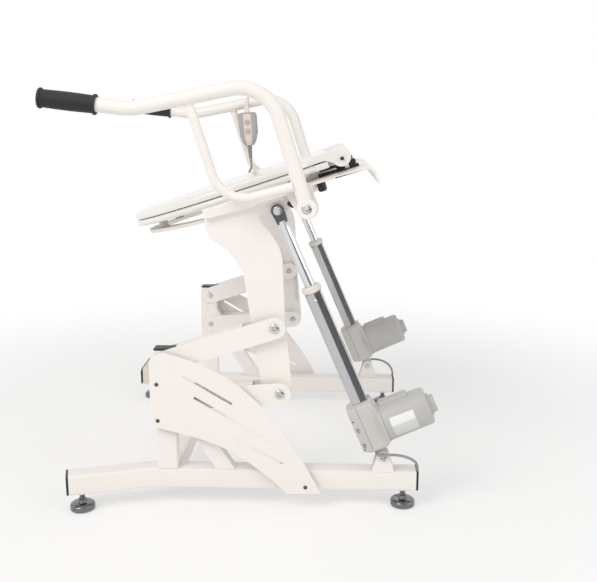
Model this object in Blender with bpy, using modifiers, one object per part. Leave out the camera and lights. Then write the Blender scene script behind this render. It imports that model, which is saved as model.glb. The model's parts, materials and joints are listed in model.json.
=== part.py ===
"""Powered seat lift with folding armrests, as separate named pieces.

Sizes at the top are in millimetres and degrees; the scene is in metres.
+Z is up, the user sits facing -X, and the user's left hand is on -Y.
Each side has a post with two parallel arms, which carry a seat frame and are driven by a screw actuator.
"""

import math

import bmesh
import bpy
from mathutils import Matrix, Vector

MM = 0.001
LEFT = -1
RIGHT = 1
SIDES = {"left": LEFT, "right": RIGHT}

# The whole lift is moved by this much along X, so that its footprint is centred on the origin.
CENTRE_SHIFT = 3.0

# Clearances
GAP = 0.3
BOLT_CLEARANCE = 0.3
SLIDE_CLEARANCE = 0.5
OPEN_PIVOT_CLEARANCE = 1.5
ROD_PIVOT_CLEARANCE = 5.1
CABLE_GAP = 0.8

# Base tubes
TUBE_SIDE = 38.0
TUBE_WALL = 2.0
TUBE_CORNER = 3.0
RAIL_OUTER_Y = 300.0
RAIL_BOTTOM_Z = 36.0
RAIL_REAR_X = 307.0
LEG_BEND_X = -191.0
LEG_SPLAY = 16.6
LEG_LENGTH = 151.0
TUBE_CAP = 4.0
CAP_PLUG = 10.0

# Levelling feet
FOOT_RADIUS = 23.0
FOOT_HEIGHT = 19.0
FOOT_NECK_RADIUS = 12.0
STUD_RADIUS = 5.0
STUD_ENGAGED = 22.0
LOCK_NUT_RADIUS = 9.0
LOCK_NUT_HEIGHT = 6.0
FRONT_FOOT_X = -319.0
REAR_FOOT_X = 284.0

# Posts and knee braces
POST_X = -159.3
POST_DEPTH = 38.0
POST_WIDTH = 25.0
POST_TOP_Z = 304.0
POST_CAP = 4.0
KNEE_WIDTH = 30.0
KNEE_FOOT_X = -50.0
KNEE_ANGLE = 58.0

# Linkage pivots, (x, z)
UPPER_FRONT_PIVOT = (-156.0, 285.0)
UPPER_REAR_PIVOT = (43.6, 348.6)
LOWER_FRONT_PIVOT = (-156.0, 211.0)
LOWER_REAR_PIVOT = (52.7, 225.0)
ACTUATOR_FOOT_PIVOT = (244.5, 103.0)
ACTUATOR_TOP_PIVOT = (49.7, 560.0)
BOLT_RADIUS = 5.0
BOLT_HEAD_RADIUS = 8.0
BOLT_HEAD_HEIGHT = 3.2
LOW_HEAD_HEIGHT = 2.0

# Arms: channels with their web on top, straddling post and carrier plate
ARM_HEIGHT = 40.0
ARM_SHEET = 3.0
ARM_SIDE_CLEARANCE = 0.5
UPPER_WEB_START = 26.0
LOWER_WEB_START = 48.0
UPPER_WEB_END = 56.0
LOWER_WEB_END = 50.0

# Side covers
COVER_SHEET = 2.0
COVER_STANDOFF = 10.0
COVER_BOSS_RADIUS = 6.0
COVER_SCREW_RADIUS = 2.0
COVER_SCREW_HEAD = 3.6
COVER_SCREW_RISE = 1.8
COVER_HOLE_RADIUS = 2.8
COVER_SLOT_WIDTH = 5.0
COVER_CORNER = 14.0

# Carrier plates
CARRIER_THICKNESS = 6.0
CARRIER_BOSS_RADIUS = 11.0
CARRIER_END_RADIUS = 19.0
CARRIER_RIB_DEPTH = 9.0
CARRIER_RIB_THICKNESS = 3.0
ROD_LUG_RADIUS = 14.5

# Seat frame, tilted with the carrier plates
FRAME_TILT = 14.8
FRAME_START_X = -78.7
FRAME_START_Z = 543.7
FRAME_LENGTH = 186.0
FRAME_BAR_HEIGHT = 18.0
CROSS_BAR_WIDTH = 30.0
CROSS_BAR_THICKNESS = 5.5
CROSS_BAR_OFFSETS = (40.0, 160.0)
RING_FRONT_INSET = 23.5
RING_REAR_X = 120.0
RING_HALF_WIDTH = 168.0
RING_BAND = 34.0
RING_THICKNESS = 6.5
RING_DROP = 9.5
HANGER_THICKNESS = 6.0
REAR_BAR_WIDTH = 26.0
REAR_BAR_HEIGHT = 13.0

# Armrests
ARMREST_Y = 330.0
ARMREST_TUBE_RADIUS = 12.7
ARMREST_TUBE_WALL = 1.5
STRUT_RADIUS = 8.2
ARMREST_HUB = (102.5, 567.5)
ARMREST_TOP_CORNER = (36.5, 779.0)
ARMREST_FRONT_BEND = (-193.5, 734.0)
ARMREST_GRIP_END = (-345.4, 751.8)
TOP_BEND_RADIUS = 62.0
FRONT_BEND_RADIUS = 130.0
STRUT_TOP = (-99.0, 752.5)
STRUT_CORNER = (-42.9, 572.8)
STRUT_BEND_RADIUS = 58.0
HUB_RADIUS = 17.5
HUB_INNER_Y = 317.0
HUB_OUTER_Y = 342.5
HUB_PLATE_RADIUS = 20.0
HUB_PLATE_THICKNESS = 4.0
GRIP_LENGTH = 98.0
GRIP_RADIUS = 15.5
GRIP_FLANGE_RADIUS = 17.5
GRIP_FLANGE_WIDTH = 5.0
PAD_RADIUS = 4.5
PAD_THICKNESS = 6.0
STOP_PEG_RADIUS = 6.0
STOP_PEG_LENGTH = 14.0
STOP_TIP_RADIUS = 7.0
STOP_TIP_LENGTH = 13.0

# Seat ring and lid
SEAT_TILT = 17.9
SEAT_REAR = (138.0, 640.3)
SEAT_LENGTH = 424.0
SEAT_HALF_WIDTH = 190.0
SEAT_WIDEST = 222.0
SEAT_THICKNESS = 13.5
SEAT_HOLE_HALF_LENGTH = 142.0
SEAT_HOLE_HALF_WIDTH = 105.0
SEAT_HOLE_CENTRE = 186.0
LID_THICKNESS = 15.0
LID_GAP = 1.2
HINGE_PIVOT = (165.0, 645.0)
KNUCKLE_RADIUS = 13.0
HINGE_PIN_RADIUS = 3.5
KNUCKLE_INNER_Y = 96.0
KNUCKLE_WIDTH = 26.0
KNUCKLE_SPACE = 0.6
SEAT_BUMPER_RADIUS = 9.0
SEAT_BUMPER_INSET = 70.5
SEAT_BUMPER_Y = 86.0
SEAT_BUMPER_RISE = 19.0

# Rear plate behind the seat
REAR_PLATE_START = (96.0, 593.4)
REAR_PLATE_HALF_WIDTH = 200.0
REAR_PLATE_THICKNESS = 4.0
REAR_PLATE_LENGTH = 133.0
REAR_PLATE_TILT = 16.5
REAR_LIP_RADIUS = 14.0
REAR_LIP_LENGTH = 42.0
REAR_BUMPER_PLACE = 36.0
REAR_BUMPER_LENGTH = 19.0
HINGE_POST_WIDTH = 15.0
HINGE_POST_DEPTH = 24.0
HINGE_HEEL_LENGTH = 24.0
HINGE_HEEL_HEIGHT = 16.0
HINGE_HEEL_PLACE = 21.0
HINGE_FOOT_LENGTH = 60.0
HINGE_FOOT_HEIGHT = 6.0
HINGE_FOOT_PLACE = 8.0

# Actuators
ROD_RADIUS = 10.0
ROD_WALL = 2.0
ROD_ENGAGED = 56.0
OUTER_TUBE_WIDTH = 30.0
OUTER_TUBE_WALL = 3.0
COLLAR_FROM_TOP = 160.0
COLLAR_LENGTH = 13.0
COLLAR_RADIUS = 18.0
FORK_EAR = 5.0
FORK_EAR_RADIUS = 11.5
FORK_NECK_START = 20.0
FORK_NECK_LENGTH = 10.0
GEARBOX_WIDTH = 56.0
GEARBOX_TOP_FROM_FOOT = 113.0
GEARBOX_BOTTOM_FROM_FOOT = 21.0
GEARBOX_FRONT = -29.0
GEARBOX_SEAM = -10.0
GEARBOX_REAR = 21.0
MOTOR_RADIUS = 37.0
MOTOR_AXIS_FROM_FOOT = 60.0
MOTOR_LENGTH = 88.0
MOTOR_CAP_RADIUS = 17.0
MOTOR_CAP_LENGTH = 12.0
FOOT_LUG_RADIUS = 12.0
FOOT_EAR_THICKNESS = 3.0
FOOT_EAR_BASE = 43.0
FOOT_EAR_TOP_RADIUS = 12.0
FOOT_GAP = 19.0

# Handset on the right armrest
HANDSET_TOP = (-60.0, 737.0)
HANDSET_Y = 304.0
HANDSET_LENGTH = 80.0
HANDSET_WIDTH = 44.0
HANDSET_DEPTH = 24.0
HANDSET_LEAN = -4.0
HANDSET_BOOT_LENGTH = 32.0
HANDSET_BOOT_RADIUS = 6.0
HANDSET_HOOK_RADIUS = 1.6
HANDSET_HOOK_CLEARANCE = 0.6
HANDSET_BUTTON_PLACES = (24.0, 46.0)
HANDSET_BUTTON_RADIUS = 7.0
HANDSET_BUTTON_RISE = 2.0
HANDSET_CORD_RADIUS = 2.5
CORD_GLAND_RADIUS = 5.0
CORD_GLAND_HEIGHT = 5.0
CORD_GLAND_PLACE = 32.0
MOTOR_CABLE_RADIUS = 2.5

# Control box on the left post
CONTROL_BOX_FRONT_X = -209.0
CONTROL_BOX_LENGTH = 66.0
CONTROL_BOX_WIDTH = 70.0
CONTROL_BOX_HEIGHT = 30.0
CONTROL_BOX_Z = 247.0
CONTROL_BOX_OUTER_Y = 271.0
CONTROL_BOX_FOOT = (10.0, 22.0)
CONTROL_BOX_FOOT_X = -173.0

POST_MIDDLE_Y = RAIL_OUTER_Y - POST_WIDTH / 2
RAIL_TOP_Z = RAIL_BOTTOM_Z + TUBE_SIDE
RAIL_MIDDLE_Y = RAIL_OUTER_Y - TUBE_SIDE / 2
RAIL_MIDDLE_Z = RAIL_BOTTOM_Z + TUBE_SIDE / 2
ARM_OUTER_Y = RAIL_OUTER_Y + ARM_SIDE_CLEARANCE + ARM_SHEET
ARM_WIDTH = POST_WIDTH + 2 * (ARM_SIDE_CLEARANCE + ARM_SHEET)
SEAT_FRONT = (
    SEAT_REAR[0] - SEAT_LENGTH * math.cos(math.radians(SEAT_TILT)),
    SEAT_REAR[1] - SEAT_LENGTH * math.sin(math.radians(SEAT_TILT)),
)
RING_FRONT_X = SEAT_FRONT[0] + RING_FRONT_INSET
SEAT_BUMPER_X = SEAT_FRONT[0] + SEAT_BUMPER_INSET

# Colour, roughness and metallic value of each finish
FINISHES = {
    "white_powder_coat": ((0.86, 0.84, 0.80), 0.42, 0.0),
    "white_gloss_seat": ((0.90, 0.89, 0.87), 0.22, 0.0),
    "black_plastic": ((0.015, 0.015, 0.02), 0.45, 0.0),
    "black_rubber": ((0.02, 0.02, 0.025), 0.7, 0.0),
    "bright_steel": ((0.62, 0.62, 0.62), 0.25, 1.0),
    "dark_chrome": ((0.32, 0.32, 0.33), 0.25, 1.0),
    "aluminium": ((0.60, 0.60, 0.61), 0.35, 1.0),
    "grey_plastic": ((0.52, 0.51, 0.50), 0.5, 0.0),
    "pale_plastic": ((0.72, 0.68, 0.63), 0.5, 0.0),
    "cord_grey": ((0.18, 0.18, 0.19), 0.6, 0.0),
}

# Largest turn of one facet on arcs up to each radius
ARC_STEPS = ((4.0, 90.0), (12.0, 36.0), (math.inf, 22.5))

# Facets of each half of the seat's outline
SEAT_STEPS = 12

parts = None
helpers = None


class Body:
    """One moving body: an empty on the joint's axis, which carries the pieces that move with it."""

    def __init__(self, name, pivot, parent=None):
        self.pivot = Vector(pivot) * MM
        self.empty = bpy.data.objects.new(name, None)
        self.empty.empty_display_size = 30 * MM
        parts.objects.link(self.empty)
        if parent is None:
            self.empty.location = self.pivot + Vector((CENTRE_SHIFT * MM, 0, 0))
        else:
            self.empty.parent = parent.empty
            self.empty.location = self.pivot - parent.pivot

    def add(self, obj, finish=None):
        """Hangs the piece, and what its Booleans use, on this body."""
        for modifier in obj.modifiers:
            if modifier.type == "BOOLEAN":
                self.add(modifier.object)
        obj.parent = self.empty
        obj.location = obj.location - self.pivot
        if finish:
            obj.data.materials.clear()
            obj.data.materials.append(material(finish))
        return obj


def material(finish):
    """The Principled material of a finish, made on first use."""
    known = bpy.data.materials.get(finish)
    if known:
        return known
    colour, roughness, metallic = FINISHES[finish]
    made = bpy.data.materials.new(finish)
    made.use_nodes = True
    shader = made.node_tree.nodes["Principled BSDF"]
    shader.inputs["Base Color"].default_value = (*colour, 1)
    shader.inputs["Roughness"].default_value = roughness
    shader.inputs["Metallic"].default_value = metallic
    return made


def clear_scene():
    """Removes what the start-up file holds and makes the two collections."""
    global parts, helpers
    for obj in list(bpy.data.objects):
        bpy.data.objects.remove(obj)
    parts = bpy.data.collections.new("toilet_lift")
    helpers = bpy.data.collections.new("cutters")
    bpy.context.scene.collection.children.link(parts)
    bpy.context.scene.collection.children.link(helpers)


def smooth(obj, degrees=35):
    """Shades the piece smooth, keeping edges that turn more than this sharp."""
    obj.data.shade_smooth()
    obj.data.set_sharp_from_angle(angle=math.radians(degrees))
    return obj


def as_mesh(obj):
    """The curve object as a mesh object of the same name, place and turn."""
    name = obj.name
    bpy.context.view_layer.update()
    graph = bpy.context.evaluated_depsgraph_get()
    mesh = bpy.data.meshes.new_from_object(obj.evaluated_get(graph))
    work = bmesh.new()
    work.from_mesh(mesh)
    bmesh.ops.remove_doubles(work, verts=work.verts, dist=1e-6)
    bmesh.ops.recalc_face_normals(work, faces=work.faces)
    work.to_mesh(mesh)
    work.free()
    matrix = obj.matrix_world.copy()
    curve = obj.data
    bpy.data.objects.remove(obj)
    bpy.data.curves.remove(curve)
    mesh.name = name
    made = bpy.data.objects.new(name, mesh)
    made.matrix_world = matrix
    parts.objects.link(made)
    return smooth(made)


def new_mesh(name, work, location=(0, 0, 0), rotation=(0, 0, 0)):
    """A mesh object from a bmesh, at a place in millimetres and a turn in degrees."""
    mesh = bpy.data.meshes.new(name)
    work.to_mesh(mesh)
    work.free()
    obj = bpy.data.objects.new(name, mesh)
    obj.location = Vector(location) * MM
    obj.rotation_euler = [math.radians(angle) for angle in rotation]
    parts.objects.link(obj)
    return obj


def aim(obj, direction):
    """Turns the object's own Z axis to the direction."""
    obj.rotation_euler = Vector(direction).to_track_quat("Z", "Y").to_euler()
    return obj


def helper(obj):
    """Moves an operand of a Boolean out of the parts."""
    parts.objects.unlink(obj)
    helpers.objects.link(obj)
    obj.hide_render = True
    obj.display_type = "WIRE"


def combine(target, operation, others, solver="EXACT"):
    for other in others:
        modifier = target.modifiers.new(other.name, "BOOLEAN")
        modifier.operation = operation
        modifier.solver = solver
        modifier.object = other
        helper(other)
    return target


def cut(target, *cutters):
    return combine(target, "DIFFERENCE", cutters)


def join(target, *others):
    return combine(target, "UNION", others)


def round_edges(obj, width, segments=2, degrees=40):
    modifier = obj.modifiers.new("edges", "BEVEL")
    modifier.width = width * MM
    modifier.segments = segments
    modifier.limit_method = "ANGLE"
    modifier.angle_limit = math.radians(degrees)
    return obj


def arc(centre, radius, start, end):
    """Points on an arc between two angles in degrees, both ends included."""
    step = next(turn for limit, turn in ARC_STEPS if radius < limit)
    steps = max(1, math.ceil(abs(end - start) / step - 0.01))
    angles = [math.radians(start + (end - start) * i / steps) for i in range(steps + 1)]
    return [(centre[0] + radius * math.cos(a), centre[1] + radius * math.sin(a)) for a in angles]


def circle(centre, radius):
    return arc(centre, radius, 0, 360)[:-1]


def eight_sided(centre, radius):
    return [along(centre, 45 * i, radius) for i in range(8)]


def angle_of(start, end):
    return math.degrees(math.atan2(end[1] - start[1], end[0] - start[0]))


def along(start, degrees, distance, offset=0.0):
    """The point this far from start in a direction, and this far to its left."""
    turn = math.radians(degrees)
    return (
        start[0] + distance * math.cos(turn) - offset * math.sin(turn),
        start[1] + distance * math.sin(turn) + offset * math.cos(turn),
    )


def stadium(start, end, radius):
    """A bar outline with round ends about two points."""
    turn = angle_of(start, end)
    return arc(start, radius, turn + 90, turn + 270) + arc(end, radius, turn - 90, turn + 90)


def fillet(points, radii, closed=False):
    """The line through 2D points with each corner rounded to its radius."""
    made = []
    count = len(points)
    for i, (corner, radius) in enumerate(zip(points, radii)):
        inner = closed or 0 < i < count - 1
        if not radius or not inner:
            made.append(tuple(corner))
            continue
        before = Vector(points[i - 1]) - Vector(corner)
        after = Vector(points[(i + 1) % count]) - Vector(corner)
        opening = before.angle(after)
        reach = radius / math.tan(opening / 2)
        reach = min(reach, 0.49 * before.length, 0.49 * after.length)
        real_radius = reach * math.tan(opening / 2)
        middle = (before.normalized() + after.normalized()).normalized()
        centre = Vector(corner) + middle * (real_radius / math.sin(opening / 2))
        first = Vector(corner) + before.normalized() * reach - centre
        last = Vector(corner) + after.normalized() * reach - centre
        start = math.degrees(math.atan2(first.y, first.x))
        sweep = math.degrees(first.angle_signed(last))
        made += arc(centre, real_radius, start, start - sweep)
    return made


def rounded_rectangle(width, height, radius):
    w, h = width / 2, height / 2
    return fillet([(-w, -h), (w, -h), (w, h), (-w, h)], [radius] * 4, closed=True)


def line_crossing(start, angle, other_start, other_angle):
    """Where two lines in the XZ plane cross."""
    a = Vector((math.cos(math.radians(angle)), math.sin(math.radians(angle))))
    b = Vector((math.cos(math.radians(other_angle)), math.sin(math.radians(other_angle))))
    apart = Vector(other_start) - Vector(start)
    reach = (apart.x * b.y - apart.y * b.x) / (a.x * b.y - a.y * b.x)
    return (start[0] + reach * a.x, start[1] + reach * a.y)


def filled_curve(name, outline, thickness, holes=()):
    """A flat outline with holes, thickened along its own Z."""
    curve = bpy.data.curves.new(name, "CURVE")
    curve.dimensions = "2D"
    curve.fill_mode = "BOTH"
    curve.extrude = thickness / 2 * MM
    for loop in (outline, *holes):
        spline = curve.splines.new("POLY")
        spline.points.add(len(loop) - 1)
        for point, (x, y) in zip(spline.points, loop):
            point.co = (x * MM, y * MM, 0, 1)
        spline.use_cyclic_u = True
    obj = bpy.data.objects.new(name, curve)
    parts.objects.link(obj)
    return obj


def side_plate(name, outline, middle_y, thickness, holes=()):
    """A flat plate that stands in the XZ plane."""
    obj = filled_curve(name, outline, thickness, holes)
    obj.location = (0, middle_y * MM, 0)
    obj.rotation_euler = (math.pi / 2, 0, 0)
    return as_mesh(obj)


def plan_plate(name, outline, thickness, start, tilt, holes=()):
    """A flat plate seen from above, whose own X axis rises by the tilt; start is its middle at x = 0."""
    obj = filled_curve(name, outline, thickness, holes)
    obj.location = Vector((start[0], 0, start[1])) * MM
    obj.rotation_euler = (0, -math.radians(tilt), 0)
    return as_mesh(obj)


def box(name, size, centre, tilt=0.0):
    """A box by its size, centre and the rise of its X axis in degrees."""
    work = bmesh.new()
    bmesh.ops.create_cube(work, size=MM)
    bmesh.ops.scale(work, vec=size, verts=work.verts)
    return new_mesh(name, work, centre, (0, -tilt, 0))


def pin(name, radius, start, end, sides=10, end_radius=None):
    """A cylinder or cone between two points."""
    start, end = Vector(start), Vector(end)
    work = bmesh.new()
    bmesh.ops.create_cone(
        work,
        cap_ends=True,
        segments=sides,
        radius1=radius * MM,
        radius2=(radius if end_radius is None else end_radius) * MM,
        depth=(end - start).length * MM,
    )
    obj = new_mesh(name, work, (start + end) / 2)
    return smooth(aim(obj, end - start))


def turned(name, profile, start, direction, sides=24):
    """A profile of (radius, height) turned about a line; the outside runs from top to bottom."""
    work = bmesh.new()
    points = [work.verts.new((radius * MM, 0, height * MM)) for radius, height in profile]
    ring = profile[0][0] > 0
    for first, second in zip(points, points[1:] + points[:1] if ring else points[1:]):
        work.edges.new((first, second))
    obj = aim(new_mesh(name, work, start), direction)
    screw = obj.modifiers.new("turn", "SCREW")
    screw.steps = sides
    screw.render_steps = sides
    screw.use_merge_vertices = True
    screw.merge_threshold = 0.00002
    screw.use_smooth_shade = True
    return obj


def turned_mesh(name, profile, start, direction, sides=24):
    """A turned piece made a mesh, so that Booleans and edge marks can be put on it."""
    return as_mesh_with_modifiers(turned(name, profile, start, direction, sides))


def as_mesh_with_modifiers(obj):
    """Applies the modifiers by taking the evaluated mesh."""
    bpy.context.view_layer.update()
    graph = bpy.context.evaluated_depsgraph_get()
    mesh = bpy.data.meshes.new_from_object(obj.evaluated_get(graph))
    obj.modifiers.clear()
    obj.data = mesh
    return smooth(obj)


def bar_along(name, points, radius, resolution=4):
    """A round bar along 3D points; resolution 2, 4 and 6 give 8, 12 and 16 sides."""
    curve = bpy.data.curves.new(name, "CURVE")
    curve.dimensions = "3D"
    curve.bevel_depth = radius * MM
    curve.bevel_resolution = resolution
    curve.use_fill_caps = True
    spline = curve.splines.new("POLY")
    spline.points.add(len(points) - 1)
    for point, place in zip(spline.points, points):
        point.co = (*(Vector(place) * MM), 1)
    obj = bpy.data.objects.new(name, curve)
    parts.objects.link(obj)
    return as_mesh(obj)


def in_plane(points, y):
    return [(x, y, z) for x, z in points]


def section_tube(name, outer, inner, start, end):
    """A tube of a drawn section between two points; the section's X lies along world Y where it can."""
    start, end = Vector(start), Vector(end)
    axis = (end - start).normalized()
    across = Vector((0, 1, 0)) if abs(axis.y) < 0.9 else Vector((1, 0, 0))
    up = axis.cross(across)
    obj = filled_curve(name, outer, (end - start).length, [inner] if inner else [])
    turn = Matrix((across, up, axis)).transposed()
    obj.rotation_euler = turn.to_euler()
    obj.location = (start + end) / 2 * MM
    return as_mesh(obj)


def mitred_tube(name, path, side, wall, corner, height):
    """A square tube along a level path, with its corners mitred: a loft between rings that stand on the mitres."""
    work = bmesh.new()
    outer = rounded_rectangle(side, side, corner)
    bore = side - 2 * wall
    inner = rounded_rectangle(bore, bore, max(corner - wall, 0.5))
    rings = []
    for i, place in enumerate(path):
        before = Vector(place) - Vector(path[i - 1]) if i else Vector(path[1]) - Vector(place)
        after = Vector(path[i + 1]) - Vector(place) if i + 1 < len(path) else before
        left = Vector((-before.y, before.x)).normalized() + Vector((-after.y, after.x)).normalized()
        left = left.normalized()
        stretch = 1 / math.cos(before.angle(after) / 2)
        for loop in (outer, inner):
            ring = []
            for sideways, up in loop:
                spot = Vector(place) + left * sideways * stretch
                ring.append(work.verts.new((spot.x * MM, spot.y * MM, (height + up) * MM)))
            rings.append(ring)
    for kind in (0, 1):
        for first, second in zip(rings[kind::2], rings[kind + 2 :: 2]):
            for j in range(len(first)):
                k = (j + 1) % len(first)
                work.faces.new((first[j], first[k], second[k], second[j]))
    for outside, inside in (rings[:2], rings[-2:]):
        for j in range(len(outside)):
            k = (j + 1) % len(outside)
            work.faces.new((outside[j], outside[k], inside[k], inside[j]))
    bmesh.ops.recalc_face_normals(work, faces=work.faces)
    return smooth(new_mesh(name, work))


def bolt(name, radius, head_radius, head_height, tip, seat, side):
    """A bolt along Y: domed head outside its seat, shank to its tip; seat and tip are (x, |y|, z)."""
    length = seat[1] - tip[1]
    profile = [
        (0, head_height),
        (head_radius * 0.75, head_height * 0.8),
        (head_radius, 0.0),
        (radius, 0.0),
        (radius, -length),
        (0, -length),
    ]
    return turned_mesh(name, profile, (seat[0], side * seat[1], seat[2]), (0, side, 0), 10)


def washered_bolt(name, side, pivot, tip_y, seat_y, washer_radius, head=BOLT_HEAD_HEIGHT):
    """A pivot bolt with a washer face under its head."""
    length = seat_y - tip_y
    washer = 1.2
    profile = [
        (0, head + washer),
        (BOLT_HEAD_RADIUS * 0.75, head * 0.8 + washer),
        (BOLT_HEAD_RADIUS, washer),
        (washer_radius, washer),
        (washer_radius, 0.0),
        (BOLT_RADIUS, 0.0),
        (BOLT_RADIUS, -length),
        (0, -length),
    ]
    return turned_mesh(name, profile, (pivot[0], side * seat_y, pivot[1]), (0, side, 0), 10)


def side_hole(pivot, side, radius, name="bore"):
    """A cutter through the whole side at a pivot."""
    middle = side * POST_MIDDLE_Y
    return pin(name, radius, (pivot[0], middle - 40, pivot[1]), (pivot[0], middle + 40, pivot[1]))


def leg_direction(side):
    turn = math.radians(LEG_SPLAY)
    return Vector((-math.cos(turn), side * math.sin(turn)))


def leg_points(side):
    """Middle of the tube at the mitre and at the leg's end, (x, y)."""
    inward = Vector((-math.sin(math.radians(LEG_SPLAY)), -side * math.cos(math.radians(LEG_SPLAY))))
    mitre = (inward + Vector((0, -side))).normalized()
    bend = Vector((LEG_BEND_X, side * RAIL_OUTER_Y))
    half_angle = math.radians(LEG_SPLAY / 2)
    middle = bend + mitre * (TUBE_SIDE / 2 / math.cos(half_angle))
    end = bend + leg_direction(side) * LEG_LENGTH + inward * (TUBE_SIDE / 2)
    return middle, end


def foot_places(side):
    """(x, y) of the two feet: each on its tube's middle line."""
    middle, end = leg_points(side)
    share = (FRONT_FOOT_X - middle.x) / (end.x - middle.x)
    front = middle.lerp(end, share)
    return {"front": front, "rear": Vector((REAR_FOOT_X, side * RAIL_MIDDLE_Y))}


def cover_screw_places():
    """(x, z) of the side cover's screws, front ones on the post and one on the rail."""
    front = POST_X - POST_DEPTH / 2 + 6
    return [(front, 243.7), (front, 173.7), (100.0, 46.0)]


def base_rail(base, side, word):
    """Rail and splayed leg in one bent tube, with the actuator's two foot ears on top."""
    middle, end = leg_points(side)
    path = [(RAIL_REAR_X, side * RAIL_MIDDLE_Y), tuple(middle), tuple(end)]
    rail = mitred_tube(
        f"base_rail_{word}", path, TUBE_SIDE, TUBE_WALL, TUBE_CORNER, RAIL_MIDDLE_Z
    )
    x, z = ACTUATOR_FOOT_PIVOT
    base_z = RAIL_TOP_Z - TUBE_WALL / 2
    ears = []
    for offset in (-1, 1):
        outline = [(x - FOOT_EAR_BASE / 2, base_z), (x + FOOT_EAR_BASE / 2, base_z)]
        outline += arc((x, z), FOOT_EAR_TOP_RADIUS, 10, 170)
        ear_y = POST_MIDDLE_Y + offset * (FOOT_GAP + FOOT_EAR_THICKNESS) / 2
        hole = circle((x, z), BOLT_RADIUS + BOLT_CLEARANCE)
        ears.append(side_plate("ear", outline, side * ear_y, FOOT_EAR_THICKNESS, [hole]))
    nuts = [lock_nut(place) for place in foot_places(side).values()]
    join(rail, *cover_screw(cover_screw_places()[2], side), *ears, *nuts)
    bores = []
    for place in foot_places(side).values():
        top = (place.x, place.y, RAIL_BOTTOM_Z + TUBE_WALL * 2)
        bottom = (place.x, place.y, RAIL_BOTTOM_Z - LOCK_NUT_HEIGHT - 2)
        bores.append(pin("bore", STUD_RADIUS + BOLT_CLEARANCE, bottom, top))
    cut(rail, *bores)
    base.add(rail, "white_powder_coat")


def cover_screw(place, side):
    """Boss that the side cover stands on, and the screw that holds the cover against it."""
    x, z = place
    top = RAIL_OUTER_Y + COVER_STANDOFF - GAP
    boss = pin(
        "boss",
        COVER_BOSS_RADIUS,
        (x, side * (RAIL_OUTER_Y - TUBE_WALL / 2), z),
        (x, side * top, z),
    )
    seat = RAIL_OUTER_Y + COVER_STANDOFF + COVER_SHEET + GAP
    screw = bolt(
        "screw", COVER_SCREW_RADIUS, COVER_SCREW_HEAD, COVER_SCREW_RISE, (x, top - 1, z), (x, seat, z), side
    )
    return [boss, screw]


def base_crossbar(base):
    """The tube between the two rails, in line with the posts."""
    rear_x = POST_X + POST_DEPTH / 2
    x = rear_x - TUBE_SIDE / 2
    reach = RAIL_OUTER_Y - TUBE_SIDE - GAP
    bore = TUBE_SIDE - 2 * TUBE_WALL
    bar = section_tube(
        "base_crossbar",
        rounded_rectangle(TUBE_SIDE, TUBE_SIDE, TUBE_CORNER),
        rounded_rectangle(bore, bore, TUBE_CORNER - TUBE_WALL),
        (x, -reach, RAIL_MIDDLE_Z),
        (x, reach, RAIL_MIDDLE_Z),
    )
    base.add(bar, "white_powder_coat")


def post(base, side, word):
    """Post tube with its knee brace, the cover's bosses and screws, and the arms' front bolts."""
    y = side * POST_MIDDLE_Y
    bottom = RAIL_TOP_Z + GAP
    tube = section_tube(
        f"post_{word}",
        rounded_rectangle(POST_WIDTH, POST_DEPTH, TUBE_CORNER),
        rounded_rectangle(
            POST_WIDTH - 2 * TUBE_WALL, POST_DEPTH - 2 * TUBE_WALL, TUBE_CORNER - TUBE_WALL
        ),
        (POST_X, y, bottom),
        (POST_X, y, POST_TOP_Z),
    )
    rear_x = POST_X + POST_DEPTH / 2
    slope = math.tan(math.radians(KNEE_ANGLE))
    half_foot = KNEE_WIDTH / 2 / math.sin(math.radians(KNEE_ANGLE))
    buried_x = rear_x - TUBE_WALL / 2
    foot = (KNEE_FOOT_X - half_foot, KNEE_FOOT_X + half_foot)
    outline = [
        (foot[0], bottom),
        (foot[1], bottom),
        (buried_x, bottom + (foot[1] - buried_x) * slope),
        (buried_x, bottom + (foot[0] - buried_x) * slope),
    ]
    knee = side_plate("knee", outline, y, POST_WIDTH - 2)
    screws = [piece for place in cover_screw_places()[:2] for piece in cover_screw(place, side)]
    bolts = [front_pivot_bolt(pivot, side) for pivot in (UPPER_FRONT_PIVOT, LOWER_FRONT_PIVOT)]
    base.add(join(tube, knee, *screws, *bolts), "white_powder_coat")


def cover_outline():
    """The side cover: a sail shape with a long arc from the post's top down to the rail."""
    front = POST_X - POST_DEPTH / 2 - 6.7
    points = [
        (front, 163.0),
        (front, 290.0),
        (-166.0, 303.0),
        (-156.0, 304.0),
        (-100.6, 285.9),
        (-51.9, 263.7),
        (-19.4, 240.3),
        (16.8, 206.2),
        (62.4, 148.6),
        (95.6, 95.9),
        (130.0, 33.0),
        (66.6, 32.4),
        (34.0, 63.0),
        (-3.0, 92.4),
        (-49.0, 121.5),
        (-95.0, 139.5),
        (-132.0, 149.8),
    ]
    soft = 60.0
    radii = [8.0, COVER_CORNER, 10.0, 10.0, soft, soft, soft, soft, soft, soft]
    radii += [3.0, 3.0, soft, soft, soft, soft, 0.0]
    return fillet(points, radii, closed=True)


def cover_slots():
    half = COVER_SLOT_WIDTH / 2
    ends = [
        ((-124.0, 261.0), (-36.4, 208.5)),
        ((-102.4, 218.2), (36.4, 135.5)),
        ((-30.0, 143.4), (56.6, 93.3)),
    ]
    return [stadium(start, end, half) for start, end in ends]


def side_cover(base, side, word):
    """Thin cover in front of the post and the arms' roots, with three long slots and its screw holes."""
    middle_y = side * (RAIL_OUTER_Y + COVER_STANDOFF + COVER_SHEET / 2)
    holes = [eight_sided(place, COVER_HOLE_RADIUS) for place in cover_screw_places()]
    holes += cover_slots()
    cover = side_plate(f"side_cover_{word}", cover_outline(), middle_y, COVER_SHEET, holes)
    base.add(cover, "white_powder_coat")


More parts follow.
